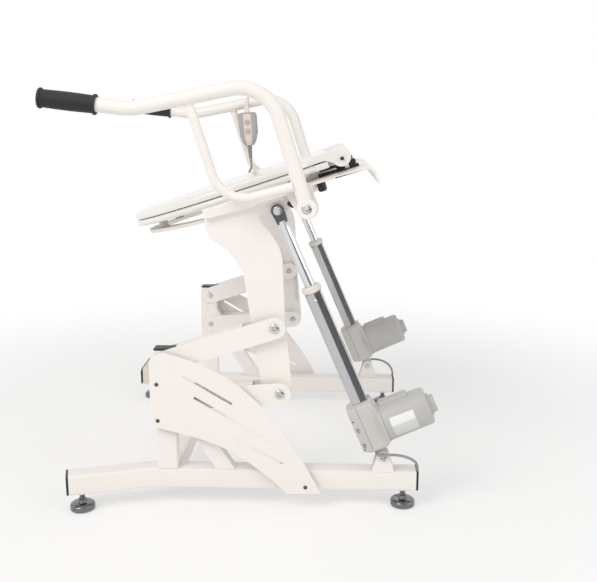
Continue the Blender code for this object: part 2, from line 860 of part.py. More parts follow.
def tube_end_caps(base):
    """Black caps on the legs' front ends and the rails' rear ends, each with its plug in the tube."""
    plug_side = TUBE_SIDE - 2 * TUBE_WALL - 2 * GAP
    for word, side in SIDES.items():
        middle, end = leg_points(side)
        ends = {
            "leg": (end, leg_direction(side)),
            "rail": (Vector((RAIL_REAR_X, side * RAIL_MIDDLE_Y)), Vector((1, 0))),
        }
        for where, (place, outward) in ends.items():
            angle = math.degrees(math.atan2(outward.y, outward.x))
            head = capped_block(
                (TUBE_CAP, TUBE_SIDE, TUBE_SIDE), place + outward * (GAP + TUBE_CAP / 2), angle, TUBE_CORNER
            )
            plug = capped_block(
                (CAP_PLUG, plug_side, plug_side), place + outward * (GAP + 1 - CAP_PLUG / 2), angle, 1.0
            )
            head.name = f"{where}_cap_{word}"
            base.add(join(head, plug), "black_plastic")


def capped_block(size, place, turn, corner):
    """A block across a tube at base height, turned in plan."""
    section = rounded_rectangle(size[1], size[2], corner)
    half = Vector((math.cos(math.radians(turn)), math.sin(math.radians(turn)))) * (size[0] / 2)
    start = (place.x - half.x, place.y - half.y, RAIL_MIDDLE_Z)
    end = (place.x + half.x, place.y + half.y, RAIL_MIDDLE_Z)
    axis = (Vector(end) - Vector(start)).normalized()
    obj = filled_curve("cap", section, size[0])
    across = Vector((-axis.y, axis.x, 0))
    obj.rotation_euler = Matrix((across, axis.cross(across), axis)).transposed().to_euler()
    obj.location = (Vector(start) + Vector(end)) / 2 * MM
    return as_mesh(obj)


def post_caps(base):
    """Black caps on the posts' tops."""
    inset = 2 * TUBE_WALL + 4 * GAP
    plug = (POST_DEPTH - inset, POST_WIDTH - inset, CAP_PLUG)
    for word, side in SIDES.items():
        y = side * POST_MIDDLE_Y
        head = box(
            f"post_cap_{word}", (POST_DEPTH, POST_WIDTH, POST_CAP), (POST_X, y, POST_TOP_Z + GAP + POST_CAP / 2)
        )
        round_edges(head, 1.0, 1)
        body = box("plug", plug, (POST_X, y, POST_TOP_Z + GAP + 1 - CAP_PLUG / 2))
        base.add(join(head, body), "black_plastic")


def levelling_foot(body, place, name):
    """Foot pad with a dome and a threaded stud up into the tube."""
    stud_top = RAIL_BOTTOM_Z + STUD_ENGAGED
    profile = [
        (0, stud_top),
        (STUD_RADIUS, stud_top),
        (STUD_RADIUS, FOOT_HEIGHT + 2),
        (FOOT_NECK_RADIUS - 3, FOOT_HEIGHT + 2),
        (FOOT_NECK_RADIUS, FOOT_HEIGHT - 1),
        (FOOT_RADIUS - 3, FOOT_HEIGHT - 4),
        (FOOT_RADIUS, FOOT_HEIGHT - 9),
        (FOOT_RADIUS, 2),
        (FOOT_RADIUS - 2, 0),
        (0, 0),
    ]
    foot = turned_mesh(name, profile, (place.x, place.y, 0), (0, 0, 1), 14)
    body.add(foot, "dark_chrome")


def lock_nut(place):
    """Hexagon nut round a foot's stud, tight against the tube's underside."""
    top = RAIL_BOTTOM_Z + TUBE_WALL / 2
    bottom = RAIL_BOTTOM_Z - LOCK_NUT_HEIGHT
    return pin("nut", LOCK_NUT_RADIUS, (place.x, place.y, bottom), (place.x, place.y, top), 6)


def arm(body, name, side, start, end, web_start, web_end, rear_hole):
    """A channel arm: a block with round ends, hollowed so that two side flanges and a top web stay."""
    turn = angle_of(start, end)
    length = math.dist(start, end)
    half = ARM_HEIGHT / 2
    bores = [
        circle(start, BOLT_RADIUS + BOLT_CLEARANCE),
        circle(end, rear_hole),
    ]
    middle = side * POST_MIDDLE_Y
    arm_obj = side_plate(name, stadium(start, end, half), middle, ARM_WIDTH, bores)
    web_under = half - ARM_SHEET
    outside = half + 5
    inside = [
        along(start, turn, -outside, -outside),
        along(start, turn, length + outside, -outside),
        along(start, turn, length + outside, outside),
        along(start, turn, length - web_end, outside),
        along(start, turn, length - web_end, web_under),
        along(start, turn, web_start, web_under),
        along(start, turn, web_start, outside),
        along(start, turn, -outside, outside),
    ]
    hollow = side_plate("hollow", inside, middle, ARM_WIDTH - 2 * ARM_SHEET)
    body.add(cut(arm_obj, hollow), "white_powder_coat")


def carrier_outline():
    """The curved plate from the lower pivot up to the seat frame, with a finger that holds the rod's top bolt."""
    tilt = math.tan(math.radians(FRAME_TILT))

    def top(x):
        return FRAME_START_Z + tilt * (x - FRAME_START_X) - GAP

    front = [
        (-80.0, 539.0),
        (-78.0, 524.0),
        (-71.0, 512.0),
        (-60.0, 502.0),
        (-41.5, 489.0),
        (-29.4, 475.0),
        (-17.0, 456.0),
        (-11.0, 437.0),
        (-2.6, 376.0),
        (6.8, 311.0),
        (17.7, 241.0),
    ]
    low = LOWER_REAR_PIVOT
    heel = arc(low, CARRIER_END_RADIUS, 200, 350)
    rear = [
        (73.0, 240.0),
        (68.0, 305.0),
        (61.8, 364.0),
        (60.3, 396.0),
        (59.0, 441.0),
        (57.5, 472.0),
        (53.0, 491.0),
        (45.4, 506.0),
        (33.0, 525.0),
        (21.0, 537.0),
        (15.5, 545.0),
        (18.0, 552.5),
        (30.0, 555.0),
    ]
    lug = arc(ACTUATOR_TOP_PIVOT, ROD_LUG_RADIUS, 205, 320)
    finger = [(72.0, 565.0), (86.0, 568.0), (88.0, 576.0), (84.0, top(84.0))]
    return front + heel + rear + lug + finger + [(-79.0, top(-79.0))]


def carrier_plate(carriage, side, word):
    """Carrier plate with two bosses between the arms' flanges and a rib inside its straight rear edge."""
    middle = side * POST_MIDDLE_Y
    hole = circle(ACTUATOR_TOP_PIVOT, ROD_PIVOT_CLEARANCE + BOLT_RADIUS)
    plate = side_plate(
        f"carrier_plate_{word}", carrier_outline(), middle, CARRIER_THICKNESS, [hole]
    )
    bosses = []
    for pivot in (UPPER_REAR_PIVOT, LOWER_REAR_PIVOT):
        reach = POST_WIDTH / 2
        bosses.append(
            pin(
                "boss",
                CARRIER_BOSS_RADIUS,
                (pivot[0], middle - reach, pivot[1]),
                (pivot[0], middle + reach, pivot[1]),
                14,
            )
        )
    low, high = (67.8, 272.0), (57.8, 420.0)
    length = math.dist(low, high)
    centre = ((low[0] + high[0]) / 2, middle - side * (CARRIER_RIB_DEPTH / 2), (low[1] + high[1]) / 2)
    rib = box(
        "rib",
        (CARRIER_RIB_THICKNESS, CARRIER_RIB_DEPTH + 1, length),
        centre,
        angle_of(low, high) - 90,
    )
    join(plate, rib, *bosses)
    bores = [
        side_hole(pivot, side, BOLT_RADIUS + BOLT_CLEARANCE)
        for pivot in (UPPER_REAR_PIVOT, LOWER_REAR_PIVOT)
    ]
    cut(plate, *bores)
    carriage.add(plate, "white_powder_coat")


def frame_point(distance, height):
    """(x, z) on the seat frame: distance along its side bars, height above their underside."""
    return along((FRAME_START_X, FRAME_START_Z), FRAME_TILT, distance, height)


def frame_distance(x):
    """How far along the side bars an x lies."""
    return (x - FRAME_START_X) / math.cos(math.radians(FRAME_TILT))


def seat_outline(length, half_width, widest, inset=0.0):
    """Seat seen from above: a half ellipse in front and a squarer half behind, x from the front tip."""
    points = []
    front_reach = widest - inset
    rear_reach = length - widest - inset
    width = half_width - inset
    for i in range(SEAT_STEPS + 1):
        turn = math.pi / 2 + math.pi * i / SEAT_STEPS
        points.append((widest + front_reach * math.cos(turn), width * math.sin(turn)))
    square = 3.6
    for i in range(1, SEAT_STEPS):
        turn = -math.pi / 2 + math.pi * i / SEAT_STEPS
        across = math.sin(turn)
        back = math.cos(turn)
        points.append(
            (
                widest + rear_reach * back ** (2 / square),
                width * math.copysign(abs(across) ** (2 / square), across),
            )
        )
    return points


def seat_frame(carriage):
    """Side bars, cross bars, the ring under the seat and the armrests' hub plates, welded into one."""
    outer_section = rounded_rectangle(POST_WIDTH, FRAME_BAR_HEIGHT, 2.0)
    inner_section = rounded_rectangle(
        POST_WIDTH - 2 * TUBE_WALL, FRAME_BAR_HEIGHT - 2 * TUBE_WALL, 1.0
    )
    ring = ring_plate()
    pieces = [rear_bar(), cord_gland()]
    for side in SIDES.values():
        pieces += [cross_bar(offset, side) for offset in CROSS_BAR_OFFSETS]
        y = side * POST_MIDDLE_Y
        first = frame_point(0, FRAME_BAR_HEIGHT / 2)
        last = frame_point(FRAME_LENGTH, FRAME_BAR_HEIGHT / 2)
        pieces.append(
            section_tube(
                "bar", outer_section, inner_section, (first[0], y, first[1]), (last[0], y, last[1])
            )
        )
        pieces.append(hub_plate(side))
        pieces.append(stop_peg(side))
        pieces.append(armrest_rest_pad(side))
    combine(ring, "UNION", pieces, "MANIFOLD")
    bores = [hub_bore(side) for side in SIDES.values()]
    combine(ring, "DIFFERENCE", bores, "MANIFOLD")
    carriage.add(ring, "white_powder_coat")


def ring_plate():
    """The flat ring that the seat's bumpers stand on; its outside and its hole follow the seat's."""
    length = (RING_REAR_X - RING_FRONT_X) / math.cos(math.radians(FRAME_TILT))
    widest = SEAT_WIDEST - (RING_FRONT_X - SEAT_FRONT[0])
    outline = seat_outline(length, RING_HALF_WIDTH, widest)
    hole = seat_outline(length, RING_HALF_WIDTH, widest, RING_BAND)
    start = frame_point(frame_distance(RING_FRONT_X), ring_middle())
    return plan_plate("seat_frame", outline, RING_THICKNESS, start, FRAME_TILT, [hole])


def ring_middle():
    """Height of the ring's middle above the side bars' underside; it hangs below them."""
    return -RING_DROP - RING_THICKNESS / 2


def cross_bar(offset, side):
    """Flat bar from the ring out to a side bar, with the hanger that goes up the bar's inner face."""
    inner_end = RING_HALF_WIDTH - RING_BAND + 8
    outer_end = RAIL_OUTER_Y - POST_WIDTH + 0.5
    x, z = frame_point(offset, ring_middle())
    flat = box(
        "cross_bar",
        (CROSS_BAR_WIDTH, outer_end - inner_end, CROSS_BAR_THICKNESS),
        (x, side * (outer_end + inner_end) / 2, z),
        FRAME_TILT,
    )
    low = ring_middle() - CROSS_BAR_THICKNESS / 2 - 0.5
    high = FRAME_BAR_HEIGHT - 6.0
    x, z = frame_point(offset, (low + high) / 2)
    y = RAIL_OUTER_Y - POST_WIDTH + 1.0 - HANGER_THICKNESS / 2
    hanger = box(
        "hanger", (CROSS_BAR_WIDTH - 2, HANGER_THICKNESS, high - low), (x, side * y, z), FRAME_TILT
    )
    return join(flat, hanger)


def rear_bar():
    """Bar between the side bars' rear ends, just under the rear plate."""
    x, z = rear_plate_point(1.0, -GAP - REAR_BAR_HEIGHT / 2)
    span = 2 * (RAIL_OUTER_Y - POST_WIDTH + 1.0)
    return box("rear_bar", (REAR_BAR_WIDTH, span, REAR_BAR_HEIGHT), (x, 0, z), REAR_PLATE_TILT)


def cord_gland():
    """Small boss on the right side bar, where the handset's cord goes in."""
    low = frame_point(CORD_GLAND_PLACE, FRAME_BAR_HEIGHT - 1.0)
    high = frame_point(CORD_GLAND_PLACE, FRAME_BAR_HEIGHT + CORD_GLAND_HEIGHT)
    y = POST_MIDDLE_Y
    return pin("gland", CORD_GLAND_RADIUS, (low[0], y, low[1]), (high[0], y, high[1]), 12)


def hub_plate(side):
    """Bracket beside the bar's rear end, which holds the armrest's pivot bolt."""
    x, z = ARMREST_HUB
    inner_y = RAIL_OUTER_Y - TUBE_WALL / 2
    outer_y = HUB_INNER_Y - GAP
    front = frame_point(frame_distance(x - 34), 3)
    rear_top = frame_point(frame_distance(x + 8), FRAME_BAR_HEIGHT)
    outline = arc((x, z), HUB_PLATE_RADIUS, 225, 375)
    outline += [rear_top, frame_point(frame_distance(x - 34), FRAME_BAR_HEIGHT), front]
    middle = side * (outer_y - HUB_PLATE_THICKNESS / 2)
    plate = side_plate("hub_plate", outline, middle, HUB_PLATE_THICKNESS)
    centre = frame_point(frame_distance(x - 12), FRAME_BAR_HEIGHT / 2)
    web = box(
        "web",
        (34.0, outer_y - inner_y - 1, FRAME_BAR_HEIGHT - 6),
        (centre[0], side * (outer_y + inner_y - 1) / 2, centre[1]),
        FRAME_TILT,
    )
    boss = pin("boss", 12.0, (x, side * (inner_y - 8), z), (x, side * (outer_y - 1), z), 18)
    return join(plate, web, boss)


def hub_bore(side):
    x, z = ARMREST_HUB
    start = (x, side * (RAIL_OUTER_Y - 14), z)
    end = (x, side * (HUB_INNER_Y + 2), z)
    return pin("bore", BOLT_RADIUS + BOLT_CLEARANCE, start, end)


def stop_place():
    """Where the armrest's stop peg stands under the side bar, and which way it points."""
    return frame_point(frame_distance(88.0), 4.0), Vector((-0.55, 0, -0.835))


def stop_peg(side):
    (x, z), direction = stop_place()
    y = side * (RAIL_OUTER_Y + 7)
    start = Vector((x, y, z))
    root = frame_point(frame_distance(90.0), 7.0)
    web = box("peg_root", (14.0, 12.0, 8.0), (root[0], side * (RAIL_OUTER_Y + 5), root[1]), FRAME_TILT)
    peg_end = start + direction * STOP_PEG_LENGTH
    peg = pin("peg", STOP_PEG_RADIUS, start, peg_end)
    tip = pin("tip", STOP_TIP_RADIUS, peg_end - direction, peg_end + direction * STOP_TIP_LENGTH)
    return join(peg, web, tip)


def rear_pivot_bolts(carriage):
    """The four bolts at the arms' rear ends, held in the carrier plates' bosses."""
    tip = RAIL_OUTER_Y - POST_WIDTH - ARM_SHEET - 4
    seat = ARM_OUTER_Y + GAP
    for word, side in SIDES.items():
        for height, pivot in (("upper", UPPER_REAR_PIVOT), ("lower", LOWER_REAR_PIVOT)):
            name = f"{height}_pivot_bolt_{word}"
            made = washered_bolt(name, side, pivot, tip, seat, BOLT_HEAD_RADIUS + 1.0)
            carriage.add(made, "bright_steel")


def front_pivot_bolt(pivot, side):
    """Bolt fixed in the post, on which an arm turns; its low head clears the side cover."""
    x, z = pivot
    tip = RAIL_OUTER_Y - POST_WIDTH - ARM_SHEET - 4
    seat = ARM_OUTER_Y + GAP
    return bolt("bolt", BOLT_RADIUS, BOLT_HEAD_RADIUS, LOW_HEAD_HEIGHT, (x, tip, z), (x, seat, z), side)


def actuator_foot_bolts(base):
    """Bolts through the foot ears and the gearboxes' lugs."""
    reach = FOOT_GAP / 2 + FOOT_EAR_THICKNESS
    for word, side in SIDES.items():
        x, z = ACTUATOR_FOOT_PIVOT
        seat = (x, POST_MIDDLE_Y + reach + GAP, z)
        tip = (x, POST_MIDDLE_Y - reach - 5, z)
        name = f"actuator_foot_bolt_{word}"
        made = bolt(name, BOLT_RADIUS, BOLT_HEAD_RADIUS, BOLT_HEAD_HEIGHT, tip, seat, side)
        base.add(made, "bright_steel")


def armrest_hub_bolts(carriage):
    """Pivot bolts of the armrests, with their heads sunk in the hub discs."""
    for word, side in SIDES.items():
        x, z = ARMREST_HUB
        seat = (x, HUB_OUTER_Y + GAP - 2.0, z)
        tip = (x, RAIL_OUTER_Y - 10, z)
        name = f"armrest_bolt_{word}"
        made = bolt(name, BOLT_RADIUS, BOLT_HEAD_RADIUS, 2.5, tip, seat, side)
        carriage.add(made, "bright_steel")


def armrest_line():
    """Middle line of the armrest's main tube from grip end to hub, (x, z)."""
    corners = [ARMREST_GRIP_END, ARMREST_FRONT_BEND, ARMREST_TOP_CORNER, ARMREST_HUB]
    return fillet(corners, [0, FRONT_BEND_RADIUS, TOP_BEND_RADIUS, 0])


def strut_line():
    """Middle line of the thinner front strut, which returns under the arm to the rear leg of the main tube."""
    top_turn = angle_of(ARMREST_FRONT_BEND, ARMREST_TOP_CORNER)
    strut_turn = angle_of(STRUT_TOP, STRUT_CORNER)
    top = line_crossing(ARMREST_FRONT_BEND, top_turn, STRUT_CORNER, strut_turn)
    rear_turn = angle_of(ARMREST_TOP_CORNER, ARMREST_HUB)
    rear = line_crossing(ARMREST_TOP_CORNER, rear_turn, STRUT_CORNER, FRAME_TILT)
    return fillet([top, STRUT_CORNER, rear], [0, STRUT_BEND_RADIUS, 0])


def armrest_tube(body, side, word):
    """Bent main tube, open at the grip end, with the welded front strut and the hub disc."""
    y = side * ARMREST_Y
    line = in_plane(armrest_line(), y)
    main = bar_along(f"armrest_tube_{word}", line, ARMREST_TUBE_RADIUS, 4)
    strut = bar_along("strut", in_plane(strut_line(), y), STRUT_RADIUS, 2)
    x, z = ARMREST_HUB
    hub = pin("hub", HUB_RADIUS, (x, side * HUB_INNER_Y, z), (x, side * HUB_OUTER_Y, z), 20)
    join(main, strut, hub)
    first, second = Vector(line[0]), Vector(line[1])
    bore_line = [first + (first - second).normalized() * 5] + [Vector(point) for point in line[1:-1]]
    last = Vector(line[-1]) + (bore_line[-1] - Vector(line[-1])).normalized() * (HUB_RADIUS + 4)
    bore = bar_along("bore", bore_line + [last], ARMREST_TUBE_RADIUS - ARMREST_TUBE_WALL, 2)
    recess_y = HUB_OUTER_Y - 2.0
    hole = turned_mesh(
        "hole",
        [
            (0, 10),
            (BOLT_HEAD_RADIUS + 0.6, 10),
            (BOLT_HEAD_RADIUS + 0.6, 0),
            (BOLT_RADIUS + BOLT_CLEARANCE, 0),
            (BOLT_RADIUS + BOLT_CLEARANCE, -60),
            (0, -60),
        ],
        (x, side * recess_y, z),
        (0, side, 0),
        16,
    )
    cut(main, bore, hole)
    body.add(main, "white_powder_coat")


def grip(body, side, word):
    """Rubber grip with a flange at each end, closed at its front."""
    start = Vector((ARMREST_GRIP_END[0], side * ARMREST_Y, ARMREST_GRIP_END[1]))
    bend = Vector((ARMREST_FRONT_BEND[0], side * ARMREST_Y, ARMREST_FRONT_BEND[1]))
    axis = (start - bend).normalized()
    bore = ARMREST_TUBE_RADIUS + 2 * GAP
    front = 3.5
    rear = front - GRIP_LENGTH
    swell = [
        (GRIP_RADIUS - 1.0 + 1.0 * math.sin(math.pi * i / 4), front - GRIP_FLANGE_WIDTH - 2
         - (GRIP_LENGTH - 2 * GRIP_FLANGE_WIDTH - 4) * i / 4)
        for i in range(5)
    ]
    profile = [(0, front), (GRIP_FLANGE_RADIUS - 2, front), (GRIP_FLANGE_RADIUS, front - 2)]
    profile += [(GRIP_FLANGE_RADIUS, front - GRIP_FLANGE_WIDTH)]
    profile += swell
    profile += [
        (GRIP_FLANGE_RADIUS, rear + GRIP_FLANGE_WIDTH),
        (GRIP_FLANGE_RADIUS, rear),
        (bore, rear),
        (bore, GAP),
        (0, GAP),
    ]
    body.add(turned_mesh(f"grip_{word}", profile, start, axis, 14), "black_rubber")


def armrest_rest_pad(side):
    """Pad on the outside of a side bar, just under the lowered armrest's strut."""
    first = frame_point(frame_distance(14.0), FRAME_BAR_HEIGHT * 0.55)
    last = frame_point(frame_distance(72.0), FRAME_BAR_HEIGHT * 0.55)
    y = side * (RAIL_OUTER_Y - TUBE_WALL / 2 + PAD_THICKNESS / 2)
    return side_plate("pad", stadium(first, last, PAD_RADIUS), y, PAD_THICKNESS)


def seat_point(distance, height):
    """(x, z) on the closed seat: distance from its front tip, height above the line between seat and lid."""
    return along(SEAT_FRONT, SEAT_TILT, distance, height)


def knuckle(side, first, last, tail_height, name="knuckle"):
    """A hinge barrel with its tongue down to the seat or lid."""
    x, z = HINGE_PIVOT
    barrel = pin(name, KNUCKLE_RADIUS, (x, side * first, z), (x, side * last, z), 18)
    root = seat_point(SEAT_LENGTH - 26, tail_height)
    tongue_length = math.dist(root, HINGE_PIVOT)
    centre = ((root[0] + x) / 2, side * (first + last) / 2, (root[1] + z) / 2)
    tongue = box(
        "tongue", (tongue_length, abs(last - first) - 2, 12.0), centre, angle_of(root, HINGE_PIVOT)
    )
    return join(barrel, tongue)


def hinge_pin_bore():
    x, z = HINGE_PIVOT
    reach = KNUCKLE_INNER_Y + 3 * KNUCKLE_WIDTH
    return pin("bore", HINGE_PIN_RADIUS + BOLT_CLEARANCE, (x, -reach, z), (x, reach, z), 16)


def seat_ring(body):
    """The seat itself, with its hole and two inner hinge knuckles."""
    outline = seat_outline(SEAT_LENGTH, SEAT_HALF_WIDTH, SEAT_WIDEST)
    steps = 24
    hole = [
        (
            SEAT_HOLE_CENTRE + SEAT_HOLE_HALF_LENGTH * math.cos(2 * math.pi * i / steps),
            SEAT_HOLE_HALF_WIDTH * math.sin(2 * math.pi * i / steps),
        )
        for i in range(steps)
    ]
    start = seat_point(0, -SEAT_THICKNESS / 2)
    seat = plan_plate("seat_ring", outline, SEAT_THICKNESS, start, SEAT_TILT, [hole])
    round_edges(seat, 4.0, 1, 60)
    seat = as_mesh_with_modifiers(seat)
    first = KNUCKLE_INNER_Y
    joined = [
        knuckle(side, first, first + KNUCKLE_WIDTH, -SEAT_THICKNESS / 2) for side in SIDES.values()
    ]
    joined += [seat_bumper(side) for side in SIDES.values()]
    combine(seat, "UNION", joined, "MANIFOLD")
    combine(seat, "DIFFERENCE", [hinge_pin_bore()], "MANIFOLD")
    body.add(seat, "white_gloss_seat")


def seat_bumper(side):
    """Bumper under the seat, which ends just above the ring and square to it."""
    place = frame_distance(SEAT_BUMPER_X)
    low = frame_point(place, GAP - RING_DROP)
    high = frame_point(place, GAP - RING_DROP + SEAT_BUMPER_RISE)
    y = side * SEAT_BUMPER_Y
    return pin("bumper", SEAT_BUMPER_RADIUS, (low[0], y, low[1]), (high[0], y, high[1]), 14)


def seat_lid(body):
    """The closed lid on the seat, a little crowned at its edge, with two outer knuckles."""
    outline = seat_outline(SEAT_LENGTH, SEAT_HALF_WIDTH + 1, SEAT_WIDEST)
    start = seat_point(0, LID_GAP + LID_THICKNESS / 2)
    lid = plan_plate("seat_lid", outline, LID_THICKNESS, start, SEAT_TILT)
    round_edges(lid, 6.0, 1, 60)
    lid = as_mesh_with_modifiers(lid)
    first = KNUCKLE_INNER_Y + KNUCKLE_WIDTH + KNUCKLE_SPACE
    knuckles = [
        knuckle(side, first, first + KNUCKLE_WIDTH, LID_GAP + LID_THICKNESS / 2)
        for side in SIDES.values()
    ]
    combine(lid, "UNION", knuckles, "MANIFOLD")
    combine(lid, "DIFFERENCE", [hinge_pin_bore()], "MANIFOLD")
    body.add(lid, "white_gloss_seat")


def rear_plate_point(distance, height):
    """(x, z) on the rear plate, distance along its underside from its front edge."""
    return along(REAR_PLATE_START, REAR_PLATE_TILT, distance, height)


def rear_plate(carriage):
    """A wide strip behind the seat, bent down into a lip at its rear edge."""
    thick = REAR_PLATE_THICKNESS
    corner = rear_plate_point(REAR_PLATE_LENGTH, thick)
    lip_turn = REAR_PLATE_TILT - 84
    lip_end = along(corner, lip_turn, REAR_LIP_LENGTH)
    outer = fillet([rear_plate_point(0, thick), corner, lip_end], [0, REAR_LIP_RADIUS, 0])
    inner_corner = rear_plate_point(REAR_PLATE_LENGTH - thick * 1.1, 0)
    inner_end = along(lip_end, lip_turn - 90, thick)
    inner = fillet(
        [inner_end, inner_corner, rear_plate_point(0, 0)], [0, REAR_LIP_RADIUS - thick, 0]
    )
    plate = side_plate("rear_plate", outer + inner, 0, 2 * REAR_PLATE_HALF_WIDTH)
    join(plate, *[frame_bumper(side) for side in SIDES.values()])
    carriage.add(plate, "white_powder_coat")


def hinge_posts(carriage):
    """Black hinge posts on the rear plate, with the pin that seat and lid turn on."""
    x, z = HINGE_PIVOT
    inner = KNUCKLE_INNER_Y - KNUCKLE_SPACE
    outer = KNUCKLE_INNER_Y + 2 * (KNUCKLE_WIDTH + KNUCKLE_SPACE) + 3.0
    middle = inner - 1.0 - HINGE_POST_WIDTH / 2
    under_pin = (x - REAR_PLATE_START[0]) / math.cos(math.radians(REAR_PLATE_TILT))
    lift = REAR_PLATE_THICKNESS + GAP
    foot_place = rear_plate_point(under_pin + HINGE_FOOT_PLACE, lift + HINGE_FOOT_HEIGHT / 2)
    heel_place = rear_plate_point(under_pin + HINGE_HEEL_PLACE, lift + 1 + HINGE_HEEL_HEIGHT / 2)
    low = rear_plate_point(under_pin, lift + HINGE_FOOT_HEIGHT - 1)[1]
    top = z + HINGE_PIN_RADIUS + 1.0
    for word, side in SIDES.items():
        start = (x, side * (middle - HINGE_POST_WIDTH / 2 - 1), z)
        post_pin = pin(f"hinge_post_{word}", HINGE_PIN_RADIUS, start, (x, side * outer, z), 14)
        block = box(
            "block",
            (HINGE_POST_DEPTH, HINGE_POST_WIDTH - 1, top - low),
            (x, side * middle, (top + low) / 2),
        )
        foot = box(
            "foot",
            (HINGE_FOOT_LENGTH, HINGE_POST_WIDTH, HINGE_FOOT_HEIGHT),
            (foot_place[0], side * middle, foot_place[1]),
            REAR_PLATE_TILT,
        )
        heel = box(
            "heel",
            (HINGE_HEEL_LENGTH, HINGE_POST_WIDTH - 2, HINGE_HEEL_HEIGHT),
            (heel_place[0], side * middle, heel_place[1]),
            REAR_PLATE_TILT,
        )
        carriage.add(join(post_pin, block, foot, heel), "black_plastic")


def frame_bumper(side):
    """Tapered bumper under the rear plate."""
    top = rear_plate_point(REAR_BUMPER_PLACE, REAR_PLATE_THICKNESS / 2)
    down = along(top, REAR_PLATE_TILT - 90, REAR_BUMPER_LENGTH)
    y = side * (REAR_PLATE_HALF_WIDTH - 12)
    return pin("bumper", 8.5, (top[0], y, top[1]), (down[0], y, down[1]), 14, 7.0)


def actuator_turn():
    """Direction of the actuator from its foot bolt to its top bolt, in degrees."""
    return angle_of(ACTUATOR_FOOT_PIVOT, ACTUATOR_TOP_PIVOT)


def actuator_point(up, across=0.0):
    """(x, z) on the actuator: up from its foot bolt, across to the rear side."""
    return along(ACTUATOR_FOOT_PIVOT, actuator_turn(), up, -across)


def actuator_length():
    return math.dist(ACTUATOR_FOOT_PIVOT, ACTUATOR_TOP_PIVOT)


def collar_place():
    return actuator_length() - COLLAR_FROM_TOP


def gear_housing(body, side, word):
    """Gearbox between its front cover and the motor, with the foot lug below."""
    y = side * POST_MIDDLE_Y
    corners = [
        actuator_point(GEARBOX_BOTTOM_FROM_FOOT, GEARBOX_SEAM),
        actuator_point(GEARBOX_BOTTOM_FROM_FOOT, GEARBOX_REAR - 8),
        actuator_point(GEARBOX_BOTTOM_FROM_FOOT + 16, GEARBOX_REAR),
        actuator_point(GEARBOX_TOP_FROM_FOOT, GEARBOX_REAR),
        actuator_point(GEARBOX_TOP_FROM_FOOT, GEARBOX_SEAM),
    ]
    outline = fillet(corners, [1.0, 6.0, 8.0, 4.0, 1.0], closed=True)
    housing = side_plate(f"gear_housing_{word}", outline, y, GEARBOX_WIDTH)
    round_edges(housing, 2.5, 1, 60)
    housing = as_mesh_with_modifiers(housing)
    lug_width = FOOT_GAP - 2 * GAP
    lug_outline = arc(ACTUATOR_FOOT_PIVOT, FOOT_LUG_RADIUS, actuator_turn() + 90, actuator_turn() + 270)
    lug_outline += [
        actuator_point(GEARBOX_BOTTOM_FROM_FOOT + 4, FOOT_LUG_RADIUS),
        actuator_point(GEARBOX_BOTTOM_FROM_FOOT + 4, -8.0),
    ]
    hole = circle(ACTUATOR_FOOT_PIVOT, BOLT_RADIUS + BOLT_CLEARANCE)
    lug = side_plate("lug", lug_outline, y, lug_width, [hole])
    flange = motor_cylinder("flange", MOTOR_RADIUS + 1.5, GEARBOX_REAR - 6, GEARBOX_REAR + 6, y)
    top = actuator_point(GEARBOX_TOP_FROM_FOOT + 2)
    low = actuator_point(GEARBOX_TOP_FROM_FOOT - 30)
    socket = section_tube(
        "socket",
        rounded_rectangle(OUTER_TUBE_WIDTH + 2 * GAP, OUTER_TUBE_WIDTH + 2 * GAP, 6.0),
        None,
        (low[0], y, low[1]),
        (top[0], y, top[1]),
    )
    join(housing, lug, flange)
    cut(housing, socket)
    body.add(housing, "grey_plastic")


def motor_cylinder(name, radius, start, end, y, sides=22):
    """A cylinder about the motor's axis, from and to these distances behind the actuator's axis."""
    first = actuator_point(MOTOR_AXIS_FROM_FOOT, start)
    last = actuator_point(MOTOR_AXIS_FROM_FOOT, end)
    return pin(name, radius, (first[0], y, first[1]), (last[0], y, last[1]), sides)


def gear_cover(body, side, word):
    """Front half of the gearbox: a thick rounded slab with its corners cut back."""
    y = side * POST_MIDDLE_Y
    corners = [
        actuator_point(GEARBOX_BOTTOM_FROM_FOOT, GEARBOX_SEAM - GAP),
        actuator_point(GEARBOX_TOP_FROM_FOOT, GEARBOX_SEAM - GAP),
        actuator_point(GEARBOX_TOP_FROM_FOOT, GEARBOX_FRONT),
        actuator_point(GEARBOX_BOTTOM_FROM_FOOT, GEARBOX_FRONT),
    ]
    outline = fillet(corners, [1.0, 1.0, 4.0, 4.0], closed=True)
    cover = side_plate(f"gear_cover_{word}", outline, y, GEARBOX_WIDTH)
    round_edges(cover, 4.0, 1, 60)
    cover = as_mesh_with_modifiers(cover)
    top = actuator_point(GEARBOX_TOP_FROM_FOOT + 2)
    low = actuator_point(GEARBOX_TOP_FROM_FOOT - 30)
    socket = section_tube(
        "socket",
        rounded_rectangle(OUTER_TUBE_WIDTH + 2 * GAP, OUTER_TUBE_WIDTH + 2 * GAP, 6.0),
        None,
        (low[0], y, low[1]),
        (top[0], y, top[1]),
    )
    body.add(cut(cover, socket), "grey_plastic")


